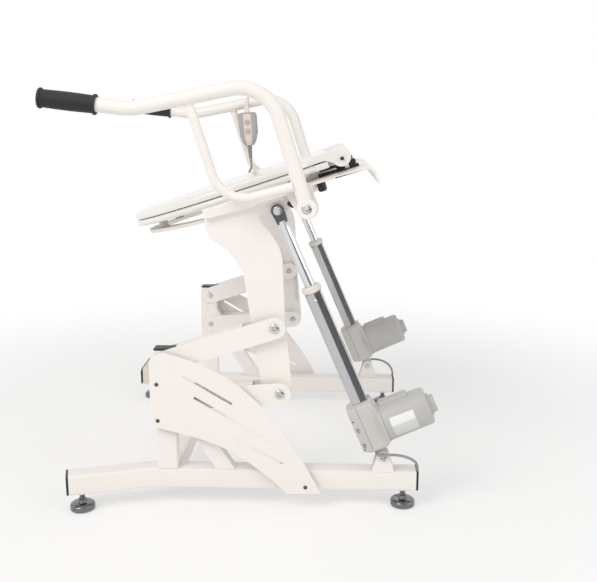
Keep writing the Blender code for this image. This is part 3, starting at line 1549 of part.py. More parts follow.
def motor(body, side, word):
    """Motor can with its stepped end cap and the raised rib along its top."""
    y = side * POST_MIDDLE_Y
    start = GEARBOX_REAR + 6 + GAP
    end = start + MOTOR_LENGTH
    can = motor_cylinder(f"motor_{word}", MOTOR_RADIUS, start, end, y)
    round_edges(can, 3.0, 1, 60)
    can = as_mesh_with_modifiers(can)
    cap = motor_cylinder("cap", MOTOR_CAP_RADIUS, end - 2, end + MOTOR_CAP_LENGTH, y, 14)
    first = actuator_point(MOTOR_AXIS_FROM_FOOT + MOTOR_RADIUS - 1, start + 1)
    last = actuator_point(MOTOR_AXIS_FROM_FOOT + MOTOR_RADIUS - 1, end - 30)
    rib = section_tube(
        "rib", rounded_rectangle(26.0, 10.0, 3.0), None, (first[0], y, first[1]), (last[0], y, last[1])
    )
    body.add(join(can, cap, rib), "grey_plastic")


def outer_tube(body, side, word):
    """The actuator's fixed square aluminium tube, seated in the gearbox."""
    y = side * POST_MIDDLE_Y
    low = actuator_point(GEARBOX_TOP_FROM_FOOT - 30 + GAP)
    high = actuator_point(collar_place() - GAP)
    bore = circle((0, 0), OUTER_TUBE_WIDTH / 2 - OUTER_TUBE_WALL)
    tube = section_tube(
        f"outer_tube_{word}",
        rounded_rectangle(OUTER_TUBE_WIDTH, OUTER_TUBE_WIDTH, 6.0),
        bore,
        (low[0], y, low[1]),
        (high[0], y, high[1]),
    )
    body.add(tube, "aluminium")


def collar(body, side, word):
    """Plastic guide ring on the outer tube's top, through which the rod slides."""
    y = side * POST_MIDDLE_Y
    start = actuator_point(collar_place())
    bore = ROD_RADIUS + SLIDE_CLEARANCE
    profile = [
        (COLLAR_RADIUS - 2, COLLAR_LENGTH),
        (COLLAR_RADIUS, COLLAR_LENGTH - 3),
        (COLLAR_RADIUS, 3),
        (COLLAR_RADIUS - 3, 0),
        (bore, 0),
        (bore, COLLAR_LENGTH),
    ]
    axis = Vector((*actuator_point(1.0), 0)) - Vector((*actuator_point(0.0), 0))
    ring = turned_mesh(
        f"collar_{word}", profile, (start[0], y, start[1]), (axis.x, 0, axis.y), 16
    )
    body.add(ring, "pale_plastic")


def rod(body, side, word):
    """The sliding rod with its fork, whose ears stand on both sides of the carrier plate."""
    y = side * POST_MIDDLE_Y
    top = actuator_length()
    start = actuator_point(collar_place() - ROD_ENGAGED)
    end = actuator_point(top - FORK_NECK_START)
    tube = pin(f"rod_{word}", ROD_RADIUS, (start[0], y, start[1]), (end[0], y, end[1]), 14)
    bore_start = actuator_point(collar_place() - ROD_ENGAGED - 2)
    bore_end = actuator_point(top - FORK_NECK_START - FORK_NECK_LENGTH)
    bore = pin(
        "bore", ROD_RADIUS - ROD_WALL, (bore_start[0], y, bore_start[1]), (bore_end[0], y, bore_end[1]), 12
    )
    ears = []
    reach = CARRIER_THICKNESS / 2 + GAP
    for offset in (-1, 1):
        outline = arc(
            ACTUATOR_TOP_PIVOT, FORK_EAR_RADIUS, actuator_turn() - 90, actuator_turn() + 90
        )
        outline += [
            actuator_point(top - FORK_NECK_START - 4, -FORK_EAR_RADIUS + 2),
            actuator_point(top - FORK_NECK_START - 4, FORK_EAR_RADIUS - 2),
        ]
        ear_y = y + offset * (reach + FORK_EAR / 2)
        ears.append(side_plate("ear", outline, ear_y, FORK_EAR))
    join(tube, top_bolt(side), *ears)
    body.add(cut(tube, bore), "bright_steel")


def top_bolt(side):
    """Bolt through the rod's fork; the carrier plate's hole leaves it room."""
    reach = CARRIER_THICKNESS / 2 + GAP + FORK_EAR
    x, z = ACTUATOR_TOP_PIVOT
    seat = (x, POST_MIDDLE_Y + reach - 0.5, z)
    tip = (x, POST_MIDDLE_Y - reach - 6, z)
    return bolt("top_bolt", BOLT_RADIUS, BOLT_HEAD_RADIUS, BOLT_HEAD_HEIGHT + 0.5, tip, seat, side)


def handset_point(down, forward=0.0):
    """(x, z) on the handset: down from its top, forward of its middle line."""
    return along(HANDSET_TOP, -90 - HANDSET_LEAN, down, -forward)


def handset_hook():
    """Wire hook over the armrest tube, bent inward into the top of the handset."""
    x, top_z = HANDSET_TOP
    reach = ARMREST_TUBE_RADIUS + HANDSET_HOOK_CLEARANCE + HANDSET_HOOK_RADIUS
    tube_turn = angle_of(ARMREST_FRONT_BEND, ARMREST_TOP_CORNER)
    tube_z = line_crossing(ARMREST_FRONT_BEND, tube_turn, (x, top_z), 90)[1]
    over = [
        (
            x,
            ARMREST_Y + reach * math.cos(math.radians(degrees)),
            tube_z + reach * math.sin(math.radians(degrees)),
        )
        for degrees in range(0, 181, 20)
    ]
    shoulder = (top_z + tube_z) / 2
    leg = [
        (x, ARMREST_Y - reach, shoulder + 1.0),
        (x, HANDSET_Y + 4.0, shoulder - 4.0),
        (x, HANDSET_Y, top_z + 4.0),
        (x, HANDSET_Y, top_z - 3.0),
    ]
    return bar_along("hook", over + leg, HANDSET_HOOK_RADIUS, 1)


def handset(body):
    """Tapered hand control with a ribbed boot for its cord."""
    y = HANDSET_Y
    top = HANDSET_WIDTH / 2
    bottom = HANDSET_WIDTH * 0.34
    outline_local = fillet(
        [
            (0, -top),
            (HANDSET_LENGTH * 0.62, -top * 0.98),
            (HANDSET_LENGTH, -bottom),
            (HANDSET_LENGTH, bottom),
            (HANDSET_LENGTH * 0.62, top * 0.98),
            (0, top),
        ],
        [6.0, 40.0, 8.0, 8.0, 40.0, 6.0],
        closed=True,
    )
    outline = [handset_point(down, forward) for down, forward in outline_local]
    shell = side_plate("handset", outline, y, HANDSET_DEPTH)
    round_edges(shell, 3.0, 1, 60)
    shell = as_mesh_with_modifiers(shell)
    start = handset_point(HANDSET_LENGTH - 3)
    end = handset_point(HANDSET_LENGTH + HANDSET_BOOT_LENGTH)
    boot = pin("boot", HANDSET_BOOT_RADIUS, (start[0], y, start[1]), (end[0], y, end[1]), 12, 4.0)
    join(shell, boot, handset_hook())
    wells = []
    for down in HANDSET_BUTTON_PLACES:
        x, z = handset_point(down)
        face = y - HANDSET_DEPTH / 2
        wells.append(
            pin("well", HANDSET_BUTTON_RADIUS + GAP, (x, face - 2, z), (x, face + 3.0, z), 16)
        )
    cut(shell, *wells)
    body.add(shell, "pale_plastic")


def handset_button(body, down, name):
    x, z = handset_point(down)
    face = HANDSET_Y - HANDSET_DEPTH / 2
    button = pin(
        name, HANDSET_BUTTON_RADIUS, (x, face - HANDSET_BUTTON_RISE, z), (x, face + 1.6, z), 16
    )
    round_edges(button, 0.8, 1, 60)
    body.add(button, "black_plastic")


def smooth_route(points, spacing):
    """Points at even steps on a smooth curve through hand-chosen ones; its first and last pieces stay straight."""
    points = [Vector(point) for point in points]
    steps = 24
    dense = []
    for a, b, c, d in zip(points, points[1:], points[2:], points[3:]):
        for i in range(steps):
            t = i / steps
            linear = (c - a) * t
            square = (2 * a - 5 * b + 4 * c - d) * t**2
            cubic = (3 * b - a - 3 * c + d) * t**3
            dense.append(b + 0.5 * (linear + square + cubic))
    dense.append(points[-2])
    length = sum((q - p).length for p, q in zip(dense, dense[1:]))
    count = max(2, round(length / spacing))
    target = length / count
    made = [points[0], dense[0]]
    walked = 0.0
    for p, q in zip(dense, dense[1:]):
        step = (q - p).length
        if len(made) <= count and walked + step >= target * (len(made) - 1):
            made.append(p.lerp(q, (target * (len(made) - 1) - walked) / step))
        walked += step
    return made + [points[-2], points[-1]]


def handset_cord(body):
    """Cord from the handset's boot down to the gland on the right side bar."""
    y = HANDSET_Y
    reach = HANDSET_LENGTH + HANDSET_BOOT_LENGTH
    start = handset_point(reach + GAP)
    straight = handset_point(reach + 6)
    height = FRAME_BAR_HEIGHT + CORD_GLAND_HEIGHT
    end = frame_point(CORD_GLAND_PLACE, height + GAP)
    above = frame_point(CORD_GLAND_PLACE, height + 6)
    route = [
        (start[0], y, start[1]),
        (straight[0], y, straight[1]),
        (straight[0] + 1.5, y - 4.5, straight[1] - 14),
        (above[0] - 1.5, POST_MIDDLE_Y + 4, above[1] + 9),
        (above[0], POST_MIDDLE_Y, above[1]),
        (end[0], POST_MIDDLE_Y, end[1]),
    ]
    cord = bar_along("handset_cord", smooth_route(route, 10.0), HANDSET_CORD_RADIUS, 2)
    body.add(cord, "cord_grey")


def motor_cable(base, side, word):
    """Cable from under the gearbox, outside the foot bolt's head, to the rail's rear end cap."""
    start = actuator_point(GEARBOX_BOTTOM_FROM_FOOT - CABLE_GAP, -8.0)
    straight = actuator_point(GEARBOX_BOTTOM_FROM_FOOT - CABLE_GAP - 5.5, -8.0)
    outside = POST_MIDDLE_Y + FOOT_GAP / 2 + FOOT_EAR_THICKNESS + BOLT_HEAD_HEIGHT
    outside += 2 * GAP + MOTOR_CABLE_RADIUS + 1.0
    cap_x = RAIL_REAR_X + GAP + TUBE_CAP / 2
    route = [
        (start[0], outside - 2.5, start[1]),
        (straight[0], outside - 2.5, straight[1]),
        (238.5, outside, 109.5),
        (250.0, outside, 110.5),
        (264.0, outside, 111.0),
        (280.0, outside - 1.0, 108.5),
        (295.0, outside - 4.0, 102.0),
        (305.5, outside - 10.0, 92.0),
        (cap_x, outside - 16.0, RAIL_TOP_Z + 7.0),
        (cap_x, outside - 16.0, RAIL_TOP_Z + GAP),
    ]
    places = [(x, side * y, z) for x, y, z in route]
    cable = bar_along(f"motor_cable_{word}", smooth_route(places, 11.0), MOTOR_CABLE_RADIUS, 2)
    base.add(cable, "cord_grey")


def control_box(base):
    """Small control box inside the left post, with a foot to the post's inner face."""
    y = CONTROL_BOX_WIDTH / 2 - CONTROL_BOX_OUTER_Y
    x = CONTROL_BOX_FRONT_X + CONTROL_BOX_LENGTH / 2
    shell = box(
        "control_box", (CONTROL_BOX_LENGTH, CONTROL_BOX_WIDTH, CONTROL_BOX_HEIGHT), (x, y, CONTROL_BOX_Z)
    )
    round_edges(shell, 2.0, 1)
    foot_y = RAIL_OUTER_Y - POST_WIDTH - GAP
    foot_depth = foot_y - CONTROL_BOX_OUTER_Y + 1
    length, height = CONTROL_BOX_FOOT
    foot = box("foot", (length, foot_depth, height), (CONTROL_BOX_FOOT_X, foot_depth / 2 - foot_y, CONTROL_BOX_Z))
    base.add(join(shell, foot), "pale_plastic")


def build():
    """All the bodies, in the order of their joints, and the pieces on them."""
    clear_scene()
    base = Body("base", (0, 0, 0))
    base_crossbar(base)
    for word, side in SIDES.items():
        base_rail(base, side, word)
        post(base, side, word)
        side_cover(base, side, word)
        for where, place in foot_places(side).items():
            foot_body = Body(f"foot_axis_{where}_{word}", (place.x, place.y, 0), base)
            levelling_foot(foot_body, place, f"foot_{where}_{word}")
    tube_end_caps(base)
    post_caps(base)
    actuator_foot_bolts(base)
    control_box(base)

    open_rear_hole = BOLT_RADIUS + OPEN_PIVOT_CLEARANCE
    upper_arms = {}
    for word, side in SIDES.items():
        x, z = UPPER_FRONT_PIVOT
        upper = Body(f"upper_arm_axis_{word}", (x, side * POST_MIDDLE_Y, z), base)
        upper_arms[word] = upper
        rear_hole = BOLT_RADIUS + BOLT_CLEARANCE if side == LEFT else open_rear_hole
        arm(
            upper, f"upper_arm_{word}", side, UPPER_FRONT_PIVOT, UPPER_REAR_PIVOT,
            UPPER_WEB_START, UPPER_WEB_END, rear_hole,
        )
        x, z = LOWER_FRONT_PIVOT
        lower = Body(f"lower_arm_axis_{word}", (x, side * POST_MIDDLE_Y, z), base)
        arm(
            lower, f"lower_arm_{word}", side, LOWER_FRONT_PIVOT, LOWER_REAR_PIVOT,
            LOWER_WEB_START, LOWER_WEB_END, open_rear_hole,
        )

    x, z = UPPER_REAR_PIVOT
    carriage = Body("carriage_axis", (x, 0, z), upper_arms["left"])
    for word, side in SIDES.items():
        carrier_plate(carriage, side, word)
    seat_frame(carriage)
    rear_plate(carriage)
    hinge_posts(carriage)
    rear_pivot_bolts(carriage)
    armrest_hub_bolts(carriage)

    x, z = HINGE_PIVOT
    seat = Body("seat_axis", (x, 0, z), carriage)
    seat_ring(seat)
    seat_lid(Body("lid_axis", (x, 0, z), seat))

    armrests = {}
    for word, side in SIDES.items():
        x, z = ARMREST_HUB
        armrest = Body(f"armrest_axis_{word}", (x, side * ARMREST_Y, z), carriage)
        armrests[word] = armrest
        armrest_tube(armrest, side, word)
        grip(armrest, side, word)

    for word, side in SIDES.items():
        x, z = ACTUATOR_FOOT_PIVOT
        actuator = Body(f"actuator_axis_{word}", (x, side * POST_MIDDLE_Y, z), base)
        gear_housing(actuator, side, word)
        gear_cover(actuator, side, word)
        motor(actuator, side, word)
        outer_tube(actuator, side, word)
        collar(actuator, side, word)
        motor_cable(base, side, word)
        x, z = ACTUATOR_TOP_PIVOT
        rod_body = Body(f"rod_axis_{word}", (x, side * POST_MIDDLE_Y, z), actuator)
        rod(rod_body, side, word)

    x, z = HANDSET_TOP
    hand = Body("handset_axis", (x, ARMREST_Y, z), armrests["right"])
    handset(hand)
    handset_cord(hand)
    for down, name in zip(HANDSET_BUTTON_PLACES, ("handset_button_up", "handset_button_down")):
        handset_button(Body(f"{name}_axis", (x, ARMREST_Y, z), hand), down, name)


build()
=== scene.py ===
"""Studio scene of a powered toilet lift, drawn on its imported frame.

Every surface is made in the lift's own millimetres, in the plane of the sides (X to the rear, Z up)
and across it (Y, with the user's left hand on -Y), and turned to metres of the frame at the end.
"""

import json
import logging
import math
from collections.abc import Callable
from dataclasses import dataclass
from enum import Enum
from functools import cache

import bmesh
import bpy
import numpy as np
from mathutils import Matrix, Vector
from mathutils.geometry import tessellate_polygon

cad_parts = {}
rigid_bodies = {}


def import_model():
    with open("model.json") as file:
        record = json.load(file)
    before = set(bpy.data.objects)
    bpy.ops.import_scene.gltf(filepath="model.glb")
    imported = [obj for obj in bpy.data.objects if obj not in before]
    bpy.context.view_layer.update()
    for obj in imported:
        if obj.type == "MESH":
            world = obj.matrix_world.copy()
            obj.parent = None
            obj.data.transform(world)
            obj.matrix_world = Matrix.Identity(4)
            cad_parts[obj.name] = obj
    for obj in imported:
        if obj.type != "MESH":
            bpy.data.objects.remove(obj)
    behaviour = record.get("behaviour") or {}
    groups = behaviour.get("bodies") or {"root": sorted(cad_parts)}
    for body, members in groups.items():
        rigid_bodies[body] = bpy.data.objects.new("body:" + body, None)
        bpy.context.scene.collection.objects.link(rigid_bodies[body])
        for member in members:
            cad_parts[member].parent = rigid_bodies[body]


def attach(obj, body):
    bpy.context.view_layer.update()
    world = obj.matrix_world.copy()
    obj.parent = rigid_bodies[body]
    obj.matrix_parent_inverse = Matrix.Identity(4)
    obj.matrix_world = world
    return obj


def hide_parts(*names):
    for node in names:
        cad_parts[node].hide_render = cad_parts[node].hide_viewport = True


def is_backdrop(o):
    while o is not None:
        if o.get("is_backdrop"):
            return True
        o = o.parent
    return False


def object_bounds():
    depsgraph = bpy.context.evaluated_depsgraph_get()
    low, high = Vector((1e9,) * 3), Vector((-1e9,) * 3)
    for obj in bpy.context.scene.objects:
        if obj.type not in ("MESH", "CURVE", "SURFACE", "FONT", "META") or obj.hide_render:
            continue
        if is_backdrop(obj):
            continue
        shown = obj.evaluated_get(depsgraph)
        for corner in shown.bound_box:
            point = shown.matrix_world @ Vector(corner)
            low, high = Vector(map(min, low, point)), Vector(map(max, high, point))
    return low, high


LOG = logging.getLogger("lift")
MM = 0.001
FRAME_SHIFT = 3.0
SIDES = {"left": -1.0, "right": 1.0}


class Slot(Enum):
    """The record's material slots."""

    POWDER = "white_powder_coat"
    SEAT = "white_gloss_seat"
    BLACK = "black_plastic"
    RUBBER = "black_rubber"
    STEEL = "bright_steel"
    CHROME = "dark_chrome"
    ALUMINIUM = "aluminium"
    GREY = "grey_plastic"
    PALE = "pale_plastic"
    CORD = "cord_grey"


Tree = bpy.types.NodeTree
Node = bpy.types.Node


def node(tree: Tree, kind: str, values: dict = None, **settings: object) -> Node:
    """A new shader node.

    Args:
        tree: that it stands in.
        kind: its type, without the words that all types start with.
        values: of its inputs, by name.
        settings: its attributes.

    Returns:
        The node.
    """
    made = tree.nodes.new(f"ShaderNode{kind}")
    for name, value in settings.items():
        setattr(made, name, value)
    for name, value in (values or {}).items():
        made.inputs[name].default_value = value
    return made


def wire(tree: Tree, *wires: tuple) -> None:
    """Links sockets, each wire given as (node, output, node, input)."""
    for first, output, second, target in wires:
        tree.links.new(first.outputs[output], second.inputs[target])


class Groups:
    """Shader node groups that all finishes share; each gives colours, masks or normals only."""

    @staticmethod
    def start(name: str, inputs: dict, outputs: dict) -> tuple:
        """Makes an empty group.

        Args:
            name: the group's name.
            inputs: (kind, default) of each input, by name.
            outputs: kind of each output, by name.

        Returns:
            The group, its input node and its output node.
        """
        group = bpy.data.node_groups.new(name, "ShaderNodeTree")
        for label, (kind, default) in inputs.items():
            made = group.interface.new_socket(name=label, in_out="INPUT", socket_type=f"NodeSocket{kind}")
            made.default_value = default
        for label, kind in outputs.items():
            group.interface.new_socket(name=label, in_out="OUTPUT", socket_type=f"NodeSocket{kind}")
        return group, group.nodes.new("NodeGroupInput"), group.nodes.new("NodeGroupOutput")

    @staticmethod
    def relief(name: str, strength: float, own: dict) -> tuple:
        """Starts a group that gives a noise as a normal and as a mask.

        Args:
            name: the group's name.
            strength: of the bump.
            own: inputs of this group beside the depth.

        Returns:
            The group, its input node and the noise, whose inputs are still free.
        """
        group, given, result = Groups.start(
            name, {**own, "Depth": ("Float", 0.0001)}, {"Normal": "Vector", "Mask": "Float"}
        )
        noise = node(group, "TexNoise")
        bump = node(group, "Bump", {"Strength": strength})
        wire(
            group, (given, "Depth", bump, "Distance"), (noise, "Fac", bump, "Height"),
            (bump, "Normal", result, "Normal"), (noise, "Fac", result, "Mask"),
        )
        return group, given, noise

    @staticmethod
    def tint(name: str) -> tuple:
        """Starts a group that turns one colour to another by a mask times an amount.

        Args:
            name: the group's name.

        Returns:
            The group and its multiplying node, whose first input takes the mask.
        """
        grey = (0.8, 0.8, 0.8, 1.0)
        group, given, result = Groups.start(
            name,
            {"Colour": ("Color", grey), "Other Colour": ("Color", grey), "Amount": ("Float", 0.1)},
            {"Colour": "Color"},
        )
        share = node(group, "Math", operation="MULTIPLY")
        mix = node(group, "Mix", data_type="RGBA")
        wire(
            group, (given, "Amount", share, 1), (share, "Value", mix, "Factor"),
            (given, "Colour", mix, 6), (given, "Other Colour", mix, 7), (mix, 2, result, "Colour"),
        )
        return group, share

    @staticmethod
    @cache
    def grain() -> Tree:
        """Fine relief of a moulded or sprayed surface.

        Returns:
            The group.
        """
        group, given, noise = Groups.relief("Grain", 0.6, {"Scale": ("Float", 900.0)})
        noise.inputs["Detail"].default_value = 3.0
        wire(group, (node(group, "TexCoord"), "Object", noise, "Vector"), (given, "Scale", noise, "Scale"))
        return group

    @staticmethod
    @cache
    def drawn() -> Tree:
        """Fine lines along one direction, as left on drawn or brushed metal.

        Returns:
            The group.
        """
        group, given, noise = Groups.relief("Drawn", 0.5, {"Turn": ("Vector", (0.0, 0.0, 0.0))})
        noise.inputs["Scale"].default_value = 1.0
        lines = {"Scale": (1 / 2200, 1 / 2200, 1 / 8)}
        mapping = node(group, "Mapping", lines, vector_type="TEXTURE")
        wire(
            group, (node(group, "TexCoord"), "Object", mapping, "Vector"),
            (given, "Turn", mapping, "Rotation"), (mapping, "Vector", noise, "Vector"),
        )
        return group

    @staticmethod
    @cache
    def dust() -> Tree:
        """Faint dust on faces that look up, and soft blotches everywhere.

        Returns:
            The group.
        """
        group, share = Groups.tint("Dust")
        blotch = node(group, "TexNoise", {"Scale": 14.0, "Detail": 5.0})
        split = node(group, "SeparateXYZ")
        upward = node(group, "MapRange", {"From Min": 0.3, "From Max": 1.0, "To Min": 0.35, "To Max": 1.0})
        shape = node(group, "MapRange", {"From Min": 0.42, "From Max": 0.68})
        mask = node(group, "Math", operation="MULTIPLY")
        wire(
            group, (node(group, "TexCoord"), "Object", blotch, "Vector"),
            (node(group, "NewGeometry"), "Normal", split, "Vector"), (split, "Z", upward, "Value"),
            (blotch, "Fac", shape, "Value"), (upward, "Result", mask, 0), (shape, "Result", mask, 1),
            (mask, "Value", share, 0),
        )
        return group

    @staticmethod
    @cache
    def edges() -> Tree:
        """Edges that are rubbed a little: where a rounded normal leaves the real one.

        Returns:
            The group.
        """
        group, share = Groups.tint("Edges")
        rounded = node(group, "Bevel", {"Radius": 0.0012}, samples=4)
        dot = node(group, "VectorMath", operation="DOT_PRODUCT")
        away = node(group, "MapRange", {"From Min": 0.995, "From Max": 0.9})
        wire(
            group, (rounded, "Normal", dot, 0), (node(group, "NewGeometry"), "Normal", dot, 1),
            (dot, "Value", away, "Value"), (away, "Result", share, 0),
        )
        return group


@dataclass(frozen=True)
class Finish:
    """A finish: colour with dust and rubbed edges, relief, and a roughness that follows the relief."""

    name: str
    slot: Slot
    colour: tuple
    roughness: float
    spread: float = 0.08
    metallic: float = 0.0
    grain_scale: float = 900.0
    grain_depth: float = 0.00008
    dust: float = 0.08
    dust_colour: tuple = (0.55, 0.53, 0.50)
    edge: float = 0.25
    edge_colour: tuple = (0.9, 0.89, 0.87)
    coat: float = 0.0
    coat_roughness: float = 0.05
    turn: tuple = None

    def relief(self, tree: Tree) -> Node:
        """The finish's relief.

        Args:
            tree: of the material.

        Returns:
            The group node that gives its normal and mask.
        """
        if self.turn is None:
            values = {"Scale": self.grain_scale, "Depth": self.grain_depth}
            return node(tree, "Group", values, node_tree=Groups.grain())
        return node(tree, "Group", {"Turn": self.turn, "Depth": self.grain_depth}, node_tree=Groups.drawn())

    def material(self) -> bpy.types.Material:
        """The finish's material, made on first use.

        Returns:
            A Principled material whose colour, roughness and normal come from the shared groups.
        """
        known = bpy.data.materials.get(self.name)
        if known:
            return known
        made = bpy.data.materials.new(self.name)
        made.use_nodes = True
        made.diffuse_color = (*self.colour, 1.0)
        tree = made.node_tree
        shader = tree.nodes["Principled BSDF"]
        relief = self.relief(tree)
        dusty = {"Colour": (*self.colour, 1.0), "Other Colour": (*self.dust_colour, 1.0), "Amount": self.dust}
        dust = node(tree, "Group", dusty, node_tree=Groups.dust())
        rubbed = {"Other Colour": (*self.edge_colour, 1.0), "Amount": self.edge}
        edges = node(tree, "Group", rubbed, node_tree=Groups.edges())
        low, high = self.roughness - self.spread / 2, self.roughness + self.spread / 2
        rough = node(tree, "MapRange", {"From Min": 0.3, "From Max": 0.7, "To Min": low, "To Max": high})
        wire(
            tree, (dust, "Colour", edges, "Colour"), (edges, "Colour", shader, "Base Color"),
            (relief, "Mask", rough, "Value"), (rough, "Result", shader, "Roughness"),
            (relief, "Normal", shader, "Normal"),
        )
        shader.inputs["Metallic"].default_value = self.metallic
        shader.inputs["Coat Weight"].default_value = self.coat
        shader.inputs["Coat Roughness"].default_value = self.coat_roughness
        return made


@dataclass(frozen=True)
class PowderCoat(Finish):
    """Sprayed and baked paint with a soft orange peel."""

    name: str = "Powder coat"
    slot: Slot = Slot.POWDER
    colour: tuple = (0.88, 0.84, 0.802)
    roughness: float = 0.40
    grain_scale: float = 420.0
    grain_depth: float = 0.00003
    dust: float = 0.07
    edge: float = 0.2


@dataclass(frozen=True)
class GlossPlastic(Finish):
    """Smooth moulded seat plastic."""

    name: str = "Seat plastic"
    slot: Slot = Slot.SEAT
    colour: tuple = (0.875, 0.855, 0.825)
    roughness: float = 0.24
    grain_scale: float = 60.0
    grain_depth: float = 0.00001
    dust: float = 0.05
    edge: float = 0.1
    coat: float = 0.25


@dataclass(frozen=True)
class MouldedPlastic(Finish):
    """Fine-textured moulded plastic."""

    name: str = "Moulded plastic"
    slot: Slot = Slot.GREY
    colour: tuple = (0.50, 0.494, 0.486)
    roughness: float = 0.48
    grain_scale: float = 1600.0
    grain_depth: float = 0.00003
    edge: float = 0.3
    edge_colour: tuple = (0.7, 0.69, 0.67)


@dataclass(frozen=True)
class Rubber(Finish):
    """Dull black rubber with a little bloom on its upper faces."""

    name: str = "Rubber"
    slot: Slot = Slot.RUBBER
    colour: tuple = (0.012, 0.012, 0.014)
    roughness: float = 0.62
    grain_scale: float = 1300.0
    grain_depth: float = 0.00025
    dust: float = 0.12
    dust_colour: tuple = (0.10, 0.10, 0.10)
    edge: float = 0.25
    edge_colour: tuple = (0.05, 0.05, 0.055)


@dataclass(frozen=True)
class Metal(Finish):
    """Bare or plated metal with fine lines along its length."""

    name: str = "Bright steel"
    slot: Slot = Slot.STEEL
    colour: tuple = (0.62, 0.62, 0.63)
    roughness: float = 0.12
    spread: float = 0.08
    metallic: float = 1.0
    grain_depth: float = 0.00003
    dust: float = 0.10
    dust_colour: tuple = (0.35, 0.34, 0.33)
    edge: float = 0.2
    edge_colour: tuple = (0.8, 0.8, 0.8)
    turn: tuple = (0.0, 0.0, 0.0)


@dataclass(frozen=True)
class CordSheath(Finish):
    """Matt sheath of a cable."""

    name: str = "Cord sheath"
    slot: Slot = Slot.CORD
    colour: tuple = (0.16, 0.16, 0.165)
    roughness: float = 0.5
    grain_scale: float = 2200.0
    grain_depth: float = 0.00008
    dust: float = 0.15
    dust_colour: tuple = (0.3, 0.3, 0.3)
    edge: float = 0.0


ALONG_ACTUATOR = (0.0, math.radians(90.0 - 113.09), 0.0)

POWDER = PowderCoat()
SEAT_WHITE = GlossPlastic()
BLACK = MouldedPlastic(
    name="Black plastic",
    slot=Slot.BLACK,
    colour=(0.012, 0.012, 0.015),
    roughness=0.42,
    dust_colour=(0.09, 0.09, 0.09),
    edge_colour=(0.05, 0.05, 0.055),
)
RUBBER = Rubber()
STEEL = Metal()
POLISHED = Metal(
    name="Polished rod", colour=(0.74, 0.74, 0.75), roughness=0.22, spread=0.06, turn=ALONG_ACTUATOR
)
FORK = Metal(name="Fork steel", colour=(0.11, 0.11, 0.115), roughness=0.30)
SCREW_DARK = Metal(name="Dark screw steel", colour=(0.10, 0.10, 0.10), roughness=0.3)
CHROME = Metal(name="Dark chrome", slot=Slot.CHROME, colour=(0.20, 0.20, 0.21), roughness=0.16)
ALUMINIUM = Metal(
    name="Drawn aluminium", slot=Slot.ALUMINIUM, colour=(0.54, 0.54, 0.55), roughness=0.17,
    grain_depth=0.00002, turn=ALONG_ACTUATOR,
)
GREY = MouldedPlastic(name="Light grey plastic")
GEAR_GREY = MouldedPlastic(name="Gearbox grey", colour=(0.585, 0.56, 0.54))
BEIGE = MouldedPlastic(
    name="Pale plastic", slot=Slot.PALE, colour=(0.74, 0.66, 0.59), edge_colour=(0.78, 0.72, 0.66)
)
COLLAR_BEIGE = MouldedPlastic(name="Collar plastic", slot=Slot.PALE, colour=(0.74, 0.71, 0.66))
# The motor label's upper band is painted lighter as a highlight; its lower band is greyer, for its print and
# for painted shade.
LABEL_PAINTED_HIGHLIGHT = Finish("Label upper band, painted highlight", Slot.GREY, (0.86, 0.86, 0.86), 0.22, grain_scale=300.0, edge=0.0)
LABEL_PRINT_AND_PAINTED_SHADE = Finish("Label lower band, print and painted shade", Slot.GREY, (0.66, 0.66, 0.66), 0.3, grain_scale=300.0, edge=0.0)
BUTTON_GREY = MouldedPlastic(name="Button grey", colour=(0.46, 0.44, 0.42))
# Painted shade: the handset's pale plastic shell in grey, as its sides look in shade; its raised middle keeps
# the pale colour.
HANDSET_PAINTED_SHADE = MouldedPlastic(name="Handset shell, painted shade", slot=Slot.PALE, colour=(0.40, 0.39, 0.38))
BOOT_GREY = MouldedPlastic(name="Boot grey", colour=(0.24, 0.235, 0.23), roughness=0.55)
# Painted shade: near-black discs stand for the shaded recesses round the gear cover's sunk screws and at its
# plugs.
RECESS_PAINTED_SHADE = MouldedPlastic(name="Recess, painted shade", colour=(0.05, 0.05, 0.05), roughness=0.6)
SHEATH = CordSheath(colour=(0.24, 0.235, 0.235))
CABLE = CordSheath(name="Cable sheath", colour=(0.30, 0.295, 0.29), dust_colour=(0.4, 0.4, 0.4))


def unit(vector: np.ndarray) -> np.ndarray:
    """The vector at length one."""
    return vector / np.linalg.norm(vector)


def basis(axis: np.ndarray) -> np.ndarray:
    """Three directions at right angles.

    Args:
        axis: the third; the first lies along Y wherever it doesn't.

    Returns:
        Rows u, v and axis.
    """
    axis = unit(np.asarray(axis, float))
    across = np.array([0.0, 1.0, 0.0]) if abs(axis[1]) < 0.9 else np.array([0.0, 0.0, 1.0])
    u = unit(across - axis * (across @ axis))
    return np.array([u, np.cross(axis, u), axis])


def direction(degrees: float) -> np.ndarray:
    """The unit vector at this angle in the plane of the sides, as (x, z)."""
    turn = math.radians(degrees)
    return np.array([math.cos(turn), math.sin(turn)])


def along(start: tuple, degrees: float, distance: float, offset: float = 0.0) -> np.ndarray:
    """The (x, z) point this far from start in a direction, and this far to its left."""
    way = direction(degrees)
    return np.asarray(start, float) + way * distance + np.array([-way[1], way[0]]) * offset


def angle_of(start: tuple, end: tuple) -> float:
    """Direction from one (x, z) point to another, in degrees."""
    return math.degrees(math.atan2(end[1] - start[1], end[0] - start[0]))


def arc(centre: tuple, radius: float, start: float, end: float, steps: int = 16) -> np.ndarray:
    """Points centre + radius·(cos a, sin a), for a from start to end in degrees."""
    angles = np.radians(np.linspace(start, end, steps + 1))
    return np.asarray(centre, float) + radius * np.stack([np.cos(angles), np.sin(angles)], 1)


def circle(centre: tuple, radius: float, steps: int = 40) -> np.ndarray:
    """Points all round a circle."""
    return arc(centre, radius, 0.0, 360.0, steps)[:-1]


